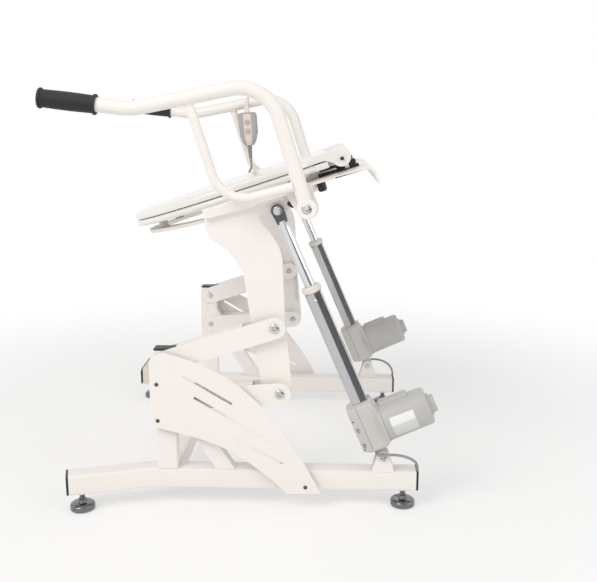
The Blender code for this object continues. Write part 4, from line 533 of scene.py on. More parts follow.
def stadium(start: tuple, end: tuple, radius: float, steps: int = 16) -> np.ndarray:
    """Outline of a bar with round ends.

    Args:
        start: centre of one end.
        end: centre of the other.
        radius: of both.
        steps: parts of each.

    Returns:
        2D points.
    """
    turn = angle_of(start, end)
    first = arc(start, radius, turn + 90, turn + 270, steps)
    return np.concatenate([first, arc(end, radius, turn - 90, turn + 90, steps)])


def fillet(corners: list, radii: list, closed: bool = True, steps: int = 8) -> np.ndarray:
    """A line with its corners rounded.

    The arc at a corner c between unit directions u and v is about c + r/sin(a/2)·(u + v)/|u + v|,
    where a is the angle between them.

    Args:
        corners: the line's 2D points.
        radii: radius at each corner; 0 keeps it.
        closed: whether the last point joins the first.
        steps: parts of each arc.

    Returns:
        The points of the rounded line.
    """
    points = [np.asarray(c, float) for c in corners]
    made = []
    for i, (corner, radius) in enumerate(zip(points, radii)):
        ends = not closed and i in (0, len(points) - 1)
        if not radius or ends:
            made.append(corner)
            continue
        before = points[i - 1] - corner
        after = points[(i + 1) % len(points)] - corner
        u, v = unit(before), unit(after)
        half = math.acos(float(np.clip(u @ v, -1.0, 1.0))) / 2
        reach = radius / math.tan(half)
        reach = min(reach, 0.49 * np.linalg.norm(before), 0.49 * np.linalg.norm(after))
        real = reach * math.tan(half)
        centre = corner + unit(u + v) * (real / math.sin(half))
        first, last = corner + u * reach - centre, corner + v * reach - centre
        turn = math.atan2(first[0] * last[1] - first[1] * last[0], float(first @ last))
        start = math.atan2(first[1], first[0])
        for share in np.linspace(0.0, 1.0, steps + 1):
            a = start + turn * share
            made.append(centre + real * np.array([math.cos(a), math.sin(a)]))
    return np.array(made)


def spline(points: list, steps: int = 6) -> np.ndarray:
    """A smooth line through points, which starts and ends on the first and the last.

    Between b and c, with a before and d after, and t from 0 to 1, it is
    b + ((c - a)·t + (2a - 5b + 4c - d)·t² + (3b - a - 3c + d)·t³)/2.

    Args:
        points: 2D or 3D.
        steps: parts between two of them.

    Returns:
        The line's points.
    """
    p = np.asarray(points, float)
    p = np.concatenate([[2 * p[0] - p[1]], p, [2 * p[-1] - p[-2]]])
    t = np.linspace(0.0, 1.0, steps, endpoint=False)[:, None]
    made = []
    for a, b, c, d in zip(p, p[1:], p[2:], p[3:]):
        made.append(
            b + 0.5 * ((c - a) * t + (2 * a - 5 * b + 4 * c - d) * t**2 + (3 * b - a - 3 * c + d) * t**3)
        )
    made.append(p[-2][None])
    return np.concatenate(made)


def rounded_section(half_a: float, half_b: float, corner: float, steps: int = 6) -> np.ndarray:
    """Section of a bar with rounded corners.

    Args:
        half_a: half its first size.
        half_b: half its second size.
        corner: radius; with both halves equal to it, the section is a circle.
        steps: parts of each corner.

    Returns:
        2D points (a, b).
    """
    corner = min(corner, half_a, half_b)
    made = []
    for sign_a, sign_b, start in ((1, 1, 0), (-1, 1, 90), (-1, -1, 180), (1, -1, 270)):
        centre = (sign_a * (half_a - corner), sign_b * (half_b - corner))
        made.append(arc(centre, corner, start, start + 90, steps))
    return np.concatenate(made)


def in_side(points: np.ndarray, y: float) -> np.ndarray:
    """(x, z) points, or one of them, as 3D points at this y or at these."""
    return np.insert(np.asarray(points, float), 1, y, axis=-1)


def crossing(start: tuple, way: np.ndarray, other: tuple, other_way: np.ndarray) -> np.ndarray:
    """Where two lines in the plane of the sides meet.

    Args:
        start: a point on the first.
        way: direction of the first.
        other: a point on the second.
        other_way: direction of the second.

    Returns:
        The (x, z) point.
    """
    apart = np.subtract(other, start)
    reach = (apart[0] * other_way[1] - apart[1] * other_way[0]) / (
        way[0] * other_way[1] - way[1] * other_way[0]
    )
    return np.asarray(start, float) + way * reach


def ring_at(section: np.ndarray, y: float, place: Callable) -> np.ndarray:
    """A ring whose points (a, b) lie at place(a) in the plane of the sides and at y + b across it."""
    return in_side([place(a) for a in section[:, 0]], y + section[:, 1])


def even_route(points: list, spacing: float) -> np.ndarray:
    """A smooth route at even steps, with straight first and last pieces.

    Args:
        points: given 3D points.
        spacing: between two points of the route.

    Returns:
        The route's points.
    """
    p = np.asarray(points, float)
    inner = spline(list(p[1:-1]), 24)
    steps = np.concatenate([[0.0], np.cumsum(np.linalg.norm(np.diff(inner, axis=0), axis=1))])
    count = max(2, round(steps[-1] / spacing))
    wanted = np.linspace(0.0, steps[-1], count + 1)
    even = np.stack([np.interp(wanted, steps, inner[:, k]) for k in range(3)], 1)
    return np.concatenate([p[:1], even, p[-1:]])


class Piece:
    """One object in the making: closed surfaces in the lift's millimetres, joined into one mesh.

    It stands for one CAD node, and is named after it where no name is given.
    """

    def __init__(self, node: str, body: str, name: str = "") -> None:
        """Starts an empty piece.

        Args:
            node: the CAD node that it replaces, or nothing.
            body: that it rides on.
            name: of the object.
        """
        self.node = node
        self.body = body
        self.name = name or node.capitalize()
        self.points: list = []
        self.faces: list = []
        self.slots: list = []
        self.count = 0

    def add(self, points: np.ndarray, faces: list, slot: int = 0) -> None:
        """Adds a surface.

        Args:
            points: n × 3.
            faces: numbers of their points.
            slot: material of this piece.
        """
        self.points.append(np.asarray(points, float))
        self.faces += [[i + self.count for i in face] for face in faces]
        self.slots += [slot] * len(faces)
        self.count += len(points)

    def grid(self, rings: np.ndarray, slot: int = 0, caps: bool = True, wrap: bool = False) -> None:
        """A surface through rings (rows × columns × 3), closed round each ring.

        Args:
            rings: the points.
            slot: material of this piece.
            caps: whether a flat face closes the first and last ring.
            wrap: whether the last ring joins the first, as on a torus.
        """
        rows, columns = rings.shape[:2]
        numbers = np.arange(rows * columns).reshape(rows, columns)
        following = np.roll(numbers, -1, axis=1)
        below, below_next = np.roll(numbers, -1, axis=0), np.roll(following, -1, axis=0)
        last = rows if wrap else rows - 1
        quads = np.stack([numbers[:last], following[:last], below_next[:last], below[:last]], -1)
        faces = quads.reshape(-1, 4).tolist()
        if caps and not wrap:
            faces.append(numbers[0][::-1].tolist())
            faces.append(numbers[-1].tolist())
        self.add(rings.reshape(-1, 3), faces, slot)

    def turned(
        self, profile: list, origin: tuple, axis: tuple, sides: int = 40, slot: int = 0, wrap: bool = False
    ) -> None:
        """A profile turned about an axis: origin + h·axis + r·(cos t·u + sin t·v).

        Args:
            profile: (r, h) points.
            origin: where h is nothing.
            axis: its direction.
            sides: steps of a full turn.
            slot: material of this piece.
            wrap: whether the profile is closed.
        """
        profile = np.asarray(profile, float)
        u, v, w = basis(axis)
        turns = np.linspace(0.0, 2 * math.pi, sides, endpoint=False)
        ring = np.cos(turns)[:, None] * u + np.sin(turns)[:, None] * v
        rings = (
            np.asarray(origin, float)
            + profile[:, 1][:, None, None] * w
            + profile[:, 0][:, None, None] * ring[None]
        )
        self.grid(rings, slot, caps=profile[0, 0] > 0, wrap=wrap)

    def rod(
        self, start: tuple, end: tuple, radius: float, soft: float = 0.6, sides: int = 32, slot: int = 0
    ) -> None:
        """A round bar.

        Args:
            start: middle of one end.
            end: middle of the other.
            radius: of the bar.
            soft: radius of its rims.
            sides: steps of a full turn.
            slot: material of this piece.
        """
        length = float(np.linalg.norm(np.subtract(end, start)))
        rim, far_rim = (radius - soft, soft), (radius - soft, length - soft)
        profile = [(0.0, 0.0), *arc(rim, soft, -90, 0, 4), *arc(far_rim, soft, 0, 90, 4), (0.0, length)]
        self.turned(profile, start, np.subtract(end, start), sides, slot)

    def pin(
        self, point: tuple, side: float, inner: float, outer: float, radius: float, soft: float = 0.6,
        sides: int = 32, slot: int = 0,
    ) -> None:
        """A round bar across the lift at an (x, z) point; inner and outer count from the lift's middle."""
        self.rod(in_side(point, side * inner), in_side(point, side * outer), radius, soft, sides, slot)

    def swept(self, path: np.ndarray, section: np.ndarray, slot: int = 0, across: tuple = None) -> None:
        """A section carried along a path without twist.

        Each ring is path + a·u + b·v; u and v are turned by the least turn from one tangent to the next.

        Args:
            path: 3D points.
            section: 2D points (a, b), or one such section for each path point.
            slot: material of this piece.
            across: first u; else along Y where the path doesn't run that way.
        """
        path = np.asarray(path, float)
        tangents = np.gradient(path, axis=0)
        tangents /= np.linalg.norm(tangents, axis=1)[:, None]
        u = basis(tangents[0])[0] if across is None else np.asarray(across, float)
        rings = []
        for i, (spot, tangent) in enumerate(zip(path, tangents)):
            u = unit(u - tangent * (u @ tangent))
            v = np.cross(tangent, u)
            shape = section if section.ndim == 2 else section[i]
            rings.append(spot + shape[:, :1] * u + shape[:, 1:] * v)
        self.grid(np.array(rings), slot)

    def mitred(self, path: list, half: float, corner: float, z: float) -> None:
        """A square tube along a level path, with a ring on the mitre of each corner.

        Args:
            path: (x, y) points.
            half: half the tube's width.
            corner: radius of its edges.
            z: height of its middle.
        """
        spots = [np.asarray(p, float) for p in path]
        section = rounded_section(half, half, corner)
        rings = []
        for i, spot in enumerate(spots):
            before = unit(spot - spots[i - 1]) if i else unit(spots[1] - spot)
            after = unit(spots[i + 1] - spot) if i + 1 < len(spots) else before
            left = unit(np.array([-before[1] - after[1], before[0] + after[0]]))
            stretch = 1 / math.cos(math.acos(float(np.clip(before @ after, -1, 1))) / 2)
            flat = spot + section[:, :1] * left * stretch
            rings.append(np.column_stack([flat, z + section[:, 1]]))
        self.grid(np.array(rings))

    def plate(
        self, outline: np.ndarray, y: float, thickness: float, holes: list = (), slot: int = 0
    ) -> None:
        """A flat plate in the plane of the sides.

        Args:
            outline: (x, z) points.
            y: its middle.
            thickness: across the lift.
            holes: their outlines.
            slot: material of this piece.
        """
        self.slab(
            outline, holes, np.array([0.0, y, 0.0]),
            np.array([[1.0, 0, 0], [0, 0, 1.0], [0, 1.0, 0]]), thickness, slot,
        )

    def slab(
        self, outline: np.ndarray, holes: list, origin: np.ndarray, axes: np.ndarray,
        thickness: float, slot: int = 0,
    ) -> None:
        """A flat outline with holes, of this thickness about its plane.

        Args:
            outline: 2D points.
            holes: outlines of its holes.
            origin: the plane's origin.
            axes: rows for the outline's first and second direction and the plane's normal.
            thickness: over both faces.
            slot: material of this piece.
        """
        loops = [np.asarray(loop, float) for loop in (outline, *holes)]
        flat = np.concatenate(loops)
        triangles = tessellate_polygon([[Vector((x, z, 0.0)) for x, z in loop] for loop in loops])
        count = len(flat)
        base = np.asarray(origin, float) + flat @ axes[:2]
        points = np.concatenate([base - axes[2] * thickness / 2, base + axes[2] * thickness / 2])
        faces = [[a, b, c] for a, b, c in triangles]
        faces += [[c + count, b + count, a + count] for a, b, c in triangles]
        first = 0
        for loop in loops:
            size = len(loop)
            for i in range(size):
                a, b = first + i, first + (i + 1) % size
                faces.append([a, b, b + count, a + count])
            first += size
        self.add(points, faces, slot)

    def block(
        self, size: tuple, centre: tuple, soft: float, tilt: float = 0.0, slot: int = 0, steps: int = 4
    ) -> None:
        """A block with rounded edges and corners.

        A point p of the sharp block becomes q + r·(p - q)/|p - q|, q being p held inside the block less r.

        Args:
            size: along its own x, y and z.
            centre: of the block.
            soft: radius r of its edges.
            tilt: rise of its x axis in degrees.
            slot: material of this piece.
            steps: parts of a quarter turn.
        """
        half = np.asarray(size, float) / 2
        soft = min(soft, *(half * 0.98))
        bend = np.tan(np.linspace(0.0, math.pi / 4, steps + 1))
        knots = [
            np.concatenate([-(h - soft) - soft * bend[::-1], (h - soft) + soft * bend]) for h in half
        ]
        across, up = direction(tilt), direction(tilt + 90)
        turn = np.array([[across[0], 0, across[1]], [0, 1, 0], [up[0], 0, up[1]]])
        for axis in range(3):
            i, j = [k for k in range(3) if k != axis]
            for sign in (-1.0, 1.0):
                a, b = np.meshgrid(knots[i], knots[j], indexing="ij")
                spots = np.zeros((*a.shape, 3))
                spots[..., i], spots[..., j], spots[..., axis] = a, b, sign * half[axis]
                held = np.clip(spots, -(half - soft), half - soft)
                away = spots - held
                spots = held + soft * away / np.linalg.norm(away, axis=-1, keepdims=True)
                rows, columns = a.shape
                numbers = np.arange(rows * columns).reshape(rows, columns)
                quads = np.stack(
                    [numbers[:-1, :-1], numbers[1:, :-1], numbers[1:, 1:], numbers[:-1, 1:]], -1
                ).reshape(-1, 4)
                faces = (quads if sign > 0 else quads[:, ::-1]).tolist()
                self.add(spots.reshape(-1, 3) @ turn + np.asarray(centre, float), faces, slot)

    def bolt_head(
        self, point: tuple, side: float, face: float, radius: float, height: float, slot: int = 0,
        turn: float = 20.0,
    ) -> None:
        """A domed head with a cross recess: height·(1 - (r/R)²)^½ less the recess.

        Args:
            point: (x, z) of its axis, which lies along Y.
            side: -1 or 1.
            face: what it sits on, from the lift's middle.
            radius: R.
            height: of the dome.
            slot: material of this piece.
            turn: of the recess, in degrees.
        """
        x, z = point
        radii = radius * np.concatenate([np.linspace(0.0, 0.92, 15), [0.97, 1.0]])
        turns = np.linspace(0.0, 2 * math.pi, 56, endpoint=False)
        r, t = np.meshgrid(radii, turns, indexing="ij")
        dome = height * (0.35 + 0.65 * np.sqrt(np.clip(1 - (r / radius) ** 2, 0, 1)))
        a, b = np.abs(r * np.cos(t)), np.abs(r * np.sin(t))
        slot_half = 0.15 * radius
        narrow = np.clip((slot_half * 1.25 - np.minimum(a, b)) / (slot_half * 0.5), 0, 1)
        reach = np.clip((0.62 * radius - np.maximum(a, b)) / (0.12 * radius), 0, 1)
        dome = dome - 0.85 * height * narrow * reach
        spin = t + math.radians(turn)
        top = np.stack([x + r * np.cos(spin), side * (face + dome), z + r * np.sin(spin)], -1)
        under = top[-1:].copy()
        under[..., 1] = side * face
        middle = np.broadcast_to(in_side(point, side * face), under.shape)
        self.grid(np.concatenate([top, under, middle]), slot, caps=False)

    def bolt(
        self, point: tuple, side: float, shank: tuple, face: float, height: float, turn: float
    ) -> None:
        """A 10 mm bolt across the lift: its shank's inner and outer end, and a head on a face."""
        self.pin(point, side, *shank, 5.0)
        self.bolt_head(point, side, face, 8.0, height, turn=turn)

    def make(self, *finishes: Finish, bevel: float = 0.0, sharp: float = 38.0) -> None:
        """Makes the finished object, at the origin on its body, in place of its CAD node.

        Args:
            finishes: the materials, in the order of the slots.
            bevel: width of a bevel on its sharp edges, in millimetres.
            sharp: edges that turn more than this many degrees stay sharp.
        """
        points = (np.concatenate(self.points) + np.array([FRAME_SHIFT, 0, 0])) * MM
        mesh = bpy.data.meshes.new(self.name)
        mesh.from_pydata(points.tolist(), [], self.faces)
        mesh.polygons.foreach_set("material_index", np.array(self.slots, np.int32))
        work = bmesh.new()
        work.from_mesh(mesh)
        bmesh.ops.remove_doubles(work, verts=work.verts, dist=2e-7)
        bmesh.ops.recalc_face_normals(work, faces=work.faces)
        work.to_mesh(mesh)
        work.free()
        for finish in finishes:
            mesh.materials.append(finish.material())
        mesh.shade_smooth()
        mesh.set_sharp_from_angle(angle=math.radians(sharp))
        obj = bpy.data.objects.new(self.name, mesh)
        bpy.context.scene.collection.objects.link(obj)
        if bevel:
            modifier = obj.modifiers.new("soft edges", "BEVEL")
            modifier.width = bevel * MM
            modifier.segments = 2
            modifier.limit_method = "ANGLE"
            modifier.angle_limit = math.radians(40)
            modifier.harden_normals = True
        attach(obj, self.body)
        if self.node:
            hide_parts(self.node)


@dataclass(frozen=True)
class Places:
    """Pivots and main lines of the lift, (x, z) in millimetres."""

    upper_front: tuple = (-156.0, 285.0)
    upper_rear: tuple = (43.6, 348.6)
    lower_front: tuple = (-156.0, 211.0)
    lower_rear: tuple = (52.7, 225.0)
    actuator_foot: tuple = (244.5, 103.0)
    actuator_top: tuple = (49.7, 560.0)
    hub: tuple = (102.5, 567.5)
    hinge: tuple = (165.0, 645.0)
    side_y: float = 287.5
    rail_outer_y: float = 300.0
    armrest_y: float = 330.0
    frame_start: tuple = (-78.7, 543.7)
    frame_tilt: float = 14.8
    seat_front: tuple = (-265.5, 510.0)
    seat_tilt: float = 17.9
    plate_start: tuple = (96.0, 593.4)
    plate_tilt: float = 16.5

    def frame(self, distance: float, height: float) -> np.ndarray:
        """A point on the seat frame: along its side bars, above their underside."""
        return along(self.frame_start, self.frame_tilt, distance, height)

    def frame_at(self, x: float) -> float:
        """How far along the side bars an x lies."""
        return (x - self.frame_start[0]) / math.cos(math.radians(self.frame_tilt))

    def seat(self, distance: float, height: float) -> np.ndarray:
        """A point on the seat: from its front tip, above the line between seat and lid."""
        return along(self.seat_front, self.seat_tilt, distance, height)

    def rear(self, distance: float, height: float) -> np.ndarray:
        """A point on the rear plate: along its underside, above it."""
        return along(self.plate_start, self.plate_tilt, distance, height)

    def actuator(self, up: float, across: float = 0.0) -> np.ndarray:
        """A point on the actuator: up from its foot bolt, across to its rear side."""
        return along(self.actuator_foot, self.actuator_turn, up, -across)

    @property
    def actuator_turn(self) -> float:
        """Direction of the actuator, in degrees."""
        return angle_of(self.actuator_foot, self.actuator_top)

    @property
    def actuator_length(self) -> float:
        """Between the actuator's two bolts."""
        return math.dist(self.actuator_foot, self.actuator_top)

    @property
    def actuator_axis(self) -> np.ndarray:
        """The actuator's direction as a 3D vector."""
        return in_side(direction(self.actuator_turn), 0.0)

    @property
    def motor_axis(self) -> np.ndarray:
        """The motor's direction as a 3D vector, square to the actuator's and to the rear."""
        return in_side(direction(self.actuator_turn - 90), 0.0)


AT = Places()


@dataclass
class OneSide:
    """What stands on one side of the lift: the word for the side, and -1 or 1 across the lift."""

    word: str
    side: float

    @property
    def y(self) -> float:
        """Middle of this side's post, arms and actuator."""
        return self.side * AT.side_y


@dataclass
class Studio:
    """Camera, light, floor and backdrop."""

    camera_place: tuple = (0.138, -1.6935, 0.709)
    yaw: float = -1.977
    pitch: float = -11.81
    lens: float = 48.15
    sensor: float = 36.0
    ambient: float = 0.58
    key: float = 42.0
    fill: float = 14.0
    rim: float = 3.0
    fade_start: float = 0.55
    fade_end: float = 1.7

    def build(self) -> None:
        """Sets up the whole stage."""
        self.camera()
        self.world()
        self.floor()
        self.softbox("Key", (-1.5, -1.9, 2.4), (0.0, 0.0, 0.4), 1.6, self.key, (1.0, 0.975, 0.94))
        self.softbox("Fill", (2.0, -1.4, 1.3), (0.0, 0.0, 0.4), 1.4, self.fill, (0.96, 0.98, 1.0))
        self.softbox("Rim", (0.4, 1.9, 2.2), (0.0, 0.0, 0.5), 1.4, self.rim, (1.0, 1.0, 1.0))
        self.card("Dark card left", (-1.9, -1.1), (0.6, 1.3), 62.0, 0.02)
        self.card("Dark card right", (1.9, -1.2), (0.5, 1.1), -58.0, 0.02)
        self.card("Dark card front", (1.35, -2.5), (1.9, 1.1), 18.0, 0.02)
        self.card("Grey card low", (0.66, -0.9), (0.66, 0.6), 0.0, 0.2)

    def camera(self) -> None:
        """The camera, for a picture 597 wide and 582 high; yaw and pitch are in degrees."""
        data = bpy.data.cameras.new("Camera")
        data.lens = self.lens
        data.sensor_width = self.sensor
        data.sensor_fit = "HORIZONTAL"
        data.clip_start = 0.05
        data.clip_end = 60.0
        obj = bpy.data.objects.new("Camera", data)
        obj.location = self.camera_place
        obj.rotation_euler = (math.radians(90 + self.pitch), 0.0, math.radians(-self.yaw))
        bpy.context.scene.collection.objects.link(obj)
        bpy.context.scene.camera = obj

    def world(self) -> None:
        """White to the camera and in reflections, softer where it lights the lift."""
        world = bpy.data.worlds.new("Studio")
        bpy.context.scene.world = world
        world.use_nodes = True
        tree = world.node_tree
        white = tree.nodes["Background"]
        white.inputs["Color"].default_value = (1.0, 1.0, 1.0, 1.0)
        light = node(tree, "Background", {"Color": (1.0, 0.99, 0.975, 1.0), "Strength": self.ambient})
        mix = node(tree, "MixShader")
        wire(
            tree, (self.seen_rays(tree), "Value", mix, "Fac"), (light, "Background", mix, 1),
            (white, "Background", mix, 2), (mix, "Shader", tree.nodes["World Output"], "Surface"),
        )

    def seen_rays(self, tree: Tree) -> Node:
        """Tells what looks at the stage from what it lights.

        Args:
            tree: of the world or a material.

        Returns:
            A node with one for rays from the camera, off a gloss or through glass, else nothing.
        """
        path = node(tree, "LightPath")
        first, second = [node(tree, "Math", operation="MAXIMUM") for _ in range(2)]
        wire(
            tree, (path, "Is Camera Ray", first, 0), (path, "Is Glossy Ray", first, 1),
            (first, "Value", second, 0), (path, "Is Transmission Ray", second, 1),
        )
        return second

    def sheet(self, name: str, corners: list) -> tuple:
        """A flat object of the stage with a new material.

        Args:
            name: of both.
            corners: its four corners.

        Returns:
            The object and the material.
        """
        mesh = bpy.data.meshes.new(name)
        mesh.from_pydata(corners, [], [(0, 1, 2, 3)])
        material = bpy.data.materials.new(name)
        material.use_nodes = True
        mesh.materials.append(material)
        obj = bpy.data.objects.new(name, mesh)
        bpy.context.scene.collection.objects.link(obj)
        obj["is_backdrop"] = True
        return obj, material

    def floor(self) -> None:
        """A pale floor that fades to plain white away from the lift, so that its far edge doesn't show."""
        reach, level = 9.0, -0.0004
        corners = [(x * reach, y * reach, level) for x, y in ((-1, -1), (1, -1), (1, 1), (-1, 1))]
        _, material = self.sheet("Floor", corners)
        material.cycles.emission_sampling = "NONE"
        tree = material.node_tree
        shader = tree.nodes["Principled BSDF"]
        shader.inputs["Roughness"].default_value = 0.7
        shader.inputs["Specular IOR Level"].default_value = 0.1
        place = node(tree, "TexCoord")
        noise = node(tree, "TexNoise", {"Scale": 3.0})
        tint = node(tree, "MapRange", {"To Min": 0.93, "To Max": 0.95})
        away = node(tree, "VectorMath", operation="LENGTH")
        ends = {"From Min": self.fade_start, "From Max": self.fade_end, "To Min": 0.4}
        fade = node(tree, "MapRange", ends, interpolation_type="SMOOTHSTEP")
        share = node(tree, "Math", operation="MULTIPLY")
        mix = node(tree, "MixShader")
        wire(
            tree, (place, "Object", noise, "Vector"), (noise, "Fac", tint, "Value"),
            (tint, "Result", shader, "Base Color"), (place, "Object", away, 0),
            (away, "Value", fade, "Value"), (fade, "Result", share, 0),
            (self.seen_rays(tree), "Value", share, 1), (share, "Value", mix, "Fac"),
            (shader, "BSDF", mix, 1), (node(tree, "Emission"), "Emission", mix, 2),
            (mix, "Shader", tree.nodes["Material Output"], "Surface"),
        )

    def softbox(
        self, name: str, place: tuple, target: tuple, size: float, power: float, colour: tuple
    ) -> None:
        """A square area light.

        Args:
            name: of the light.
            place: where it stands.
            target: what it looks at.
            size: of its sides, in metres.
            power: in watts.
            colour: of its light.
        """
        data = bpy.data.lights.new(name, "AREA")
        data.shape = "SQUARE"
        data.size = size
        data.energy = power
        data.color = colour
        obj = bpy.data.objects.new(name, data)
        obj.location = place
        aim = Vector(target) - Vector(place)
        obj.rotation_euler = aim.to_track_quat("-Z", "Y").to_euler()
        bpy.context.scene.collection.objects.link(obj)

    def card(self, name: str, place: tuple, size: tuple, turn: float, shade: float) -> None:
        """A card out of the picture, which gives the metal something to reflect.

        Args:
            name: of the card.
            place: (x, y) of its foot's middle.
            size: its width and height.
            turn: of its foot from X, in degrees.
            shade: of its grey.
        """
        half = Vector((math.cos(math.radians(turn)), math.sin(math.radians(turn)), 0.0)) * (size[0] / 2)
        foot, up = Vector((*place, 0.0)), Vector((0.0, 0.0, size[1]))
        obj, material = self.sheet(name, [foot - half, foot + half, foot + half + up, foot - half + up])
        shader = material.node_tree.nodes["Principled BSDF"]
        shader.inputs["Base Color"].default_value = (shade, shade, shade, 1.0)
        obj.visible_camera = False
        obj.visible_diffuse = False
        obj.visible_shadow = False


@dataclass
class Base(OneSide):
    """Rail with its splayed leg, post, side cover, caps and feet; the crossbar and the control box."""

    tube: float = 38.0
    corner: float = 3.5
    rail_z: float = 55.0
    rail_top: float = 74.3
    rail_rear: float = 307.0
    bend_x: float = -191.0
    splay: float = 16.6
    leg: float = 151.0
    post_x: float = -159.3
    post_size: tuple = (38.0, 25.0)
    post_top: float = 304.0
    brace_x: float = -50.0
    brace_turn: float = 58.0
    foot_radius: float = 23.0
    foot_height: float = 19.0
    front_foot_x: float = -319.0
    rear_foot_x: float = 284.0
    cover_y: float = 311.0
    cover_sheet: float = 2.0
    screws: tuple = ((-172.3, 243.7), (-172.3, 173.7), (100.0, 46.0))
    boss_reach: tuple = (299.0, 309.7)
    shank_reach: tuple = (268.0, 303.6)
    head_face: float = 303.7
    head_radius: float = 8.0
    head_height: float = 2.1
    box_place: tuple = (-174.8, -236.0, 247.0)

    @property
    def rail_y(self) -> float:
        """The rails' middle, from the lift's middle."""
        return AT.rail_outer_y - self.tube / 2

    @property
    def section(self) -> np.ndarray:
        """Section of the square tube."""
        return rounded_section(self.tube / 2, self.tube / 2, self.corner)

    def leg_line(self) -> tuple:
        """The tube's middle line from above.

        Returns:
            (x, y) at its mitre and at the leg's end, and the leg's direction.
        """
        side, turn = self.side, math.radians(self.splay)
        inward = np.array([-math.sin(turn), -side * math.cos(turn)])
        mitre = unit(inward + np.array([0.0, -side]))
        bend = np.array([self.bend_x, side * AT.rail_outer_y])
        middle = bend + mitre * (self.tube / 2 / math.cos(turn / 2))
        way = np.array([-math.cos(turn), side * math.sin(turn)])
        return middle, bend + way * self.leg + inward * (self.tube / 2), way

    def foot_places(self) -> dict:
        """Where the feet stand.

        Returns:
            (x, y, 0) of the front and the rear foot, by name.
        """
        middle, end, _ = self.leg_line()
        share = (self.front_foot_x - middle[0]) / (end[0] - middle[0])
        front = middle + (end - middle) * share
        return {"front": (*front, 0.0), "rear": (self.rear_foot_x, self.side * self.rail_y, 0.0)}

    def build(self) -> None:
        """Builds this side; the crossbar and the control box come with the left one."""
        self.rail()
        self.post()
        self.cover()
        self.caps()
        self.feet()
        if self.side < 0:
            self.crossbar()
            self.control_box()

    def crossbar(self) -> None:
        """Square tube between both rails."""
        reach = AT.rail_outer_y - self.tube - 0.3
        x = self.post_x + self.post_size[0] / 2 - self.tube / 2
        bar = Piece("base_crossbar", "base", "Crossbar")
        bar.swept([(x, y, self.rail_z) for y in np.linspace(-reach, reach, 6)], self.section)
        bar.make(POWDER)

    def rail(self) -> None:
        """Rail and leg in one bent tube, with the actuator's foot ears, lock nuts and a cover boss."""
        middle, end, _ = self.leg_line()
        piece = Piece(f"base_rail_{self.word}", "base", f"Rail_{self.word}")
        path = [(self.rail_rear, self.side * self.rail_y), middle, end]
        piece.mitred(path, self.tube / 2, self.corner, self.rail_z)
        x, z = AT.actuator_foot
        ear = [(x - 21.5, 73.0), (x + 21.5, 73.0), *arc((x, z), 12.0, 10, 170, 20)]
        for offset in (-11.0, 11.0):
            piece.plate(ear, self.y + offset, 3.0, [circle((x, z), 5.3)])
        for place in self.foot_places().values():
            nut = [(0, 30.0), (8.4, 30.0), (9.0, 31.0), (9.0, 36.5), (0, 36.5)]
            piece.turned(nut, place, (0, 0, 1), 6)
        self.boss(piece, self.screws[2])
        piece.make(POWDER, bevel=0.7)

    def boss(self, piece: Piece, point: tuple) -> None:
        """Boss between the frame and the side cover, under a screw."""
        piece.pin(point, self.side, *self.boss_reach, 6.0, 0.3)

    def post(self) -> None:
        """Post with its knee brace and the low heads of its two pivot bolts."""
        piece = Piece(f"post_{self.word}", "base")
        section = rounded_section(self.post_size[1] / 2, self.post_size[0] / 2, 3.0)
        piece.swept([(self.post_x, self.y, z) for z in np.linspace(self.rail_top, self.post_top, 5)], section)
        rear = self.post_x + self.post_size[0] / 2 - 1.0
        turn = math.radians(self.brace_turn)
        half = 15.0 / math.sin(turn)
        low, high = self.brace_x - half, self.brace_x + half
        rise_low, rise_high = [self.rail_top + (x - rear) * math.tan(turn) for x in (low, high)]
        brace = [(low, self.rail_top), (high, self.rail_top), (rear, rise_high), (rear, rise_low)]
        piece.plate(brace, self.y, 23.0)
        for screw in self.screws[:2]:
            self.boss(piece, screw)
        for pivot in (AT.upper_front, AT.lower_front):
            piece.pin(pivot, self.side, *self.shank_reach, 5.0, 0.5, slot=1)
            piece.bolt_head(pivot, self.side, self.head_face, self.head_radius, self.head_height, slot=1)
        piece.make(POWDER, STEEL, bevel=0.8)

    def cover_outline(self) -> np.ndarray:
        """The side cover's shape.

        Returns:
            A sail's outline, from the post's top down to the rail.
        """
        front = self.post_x - self.post_size[0] / 2 - 6.7
        points = [
            (front, 163.0), (front, 290.0), (-166.0, 303.0), (-156.0, 304.0), (-100.6, 285.9),
            (-51.9, 263.7), (-19.4, 240.3), (16.8, 206.2), (62.4, 148.6), (95.6, 95.9), (130.0, 33.0),
            (66.6, 32.4), (34.0, 63.0), (-3.0, 92.4), (-49.0, 121.5), (-95.0, 139.5), (-132.0, 149.8),
        ]
        soft = 90.0
        radii = [8.0, 14.0, 10.0, 10.0] + [soft] * 6 + [3.0, 3.0] + [soft] * 5
        return fillet(points, radii, steps=10)

    def cover(self) -> None:
        """Thin cover with three long slots and three screws."""
        slots = [
            stadium((-124.0, 261.0), (-36.4, 208.5), 2.5, 10),
            stadium((-102.4, 218.2), (36.4, 135.5), 2.5, 10),
            stadium((-30.0, 143.4), (56.6, 93.3), 2.5, 10),
        ]
        piece = Piece(f"side_cover_{self.word}", "base")
        piece.plate(self.cover_outline(), self.side * self.cover_y, self.cover_sheet, slots)
        piece.make(POWDER, bevel=0.5)
        heads = Piece("", "base", f"Cover_screws_{self.word}")
        for i, screw in enumerate(self.screws):
            heads.bolt_head(screw, self.side, self.cover_y + 0.9, 3.6, 2.2, turn=25.0 + 30 * i)
        heads.make(SCREW_DARK)

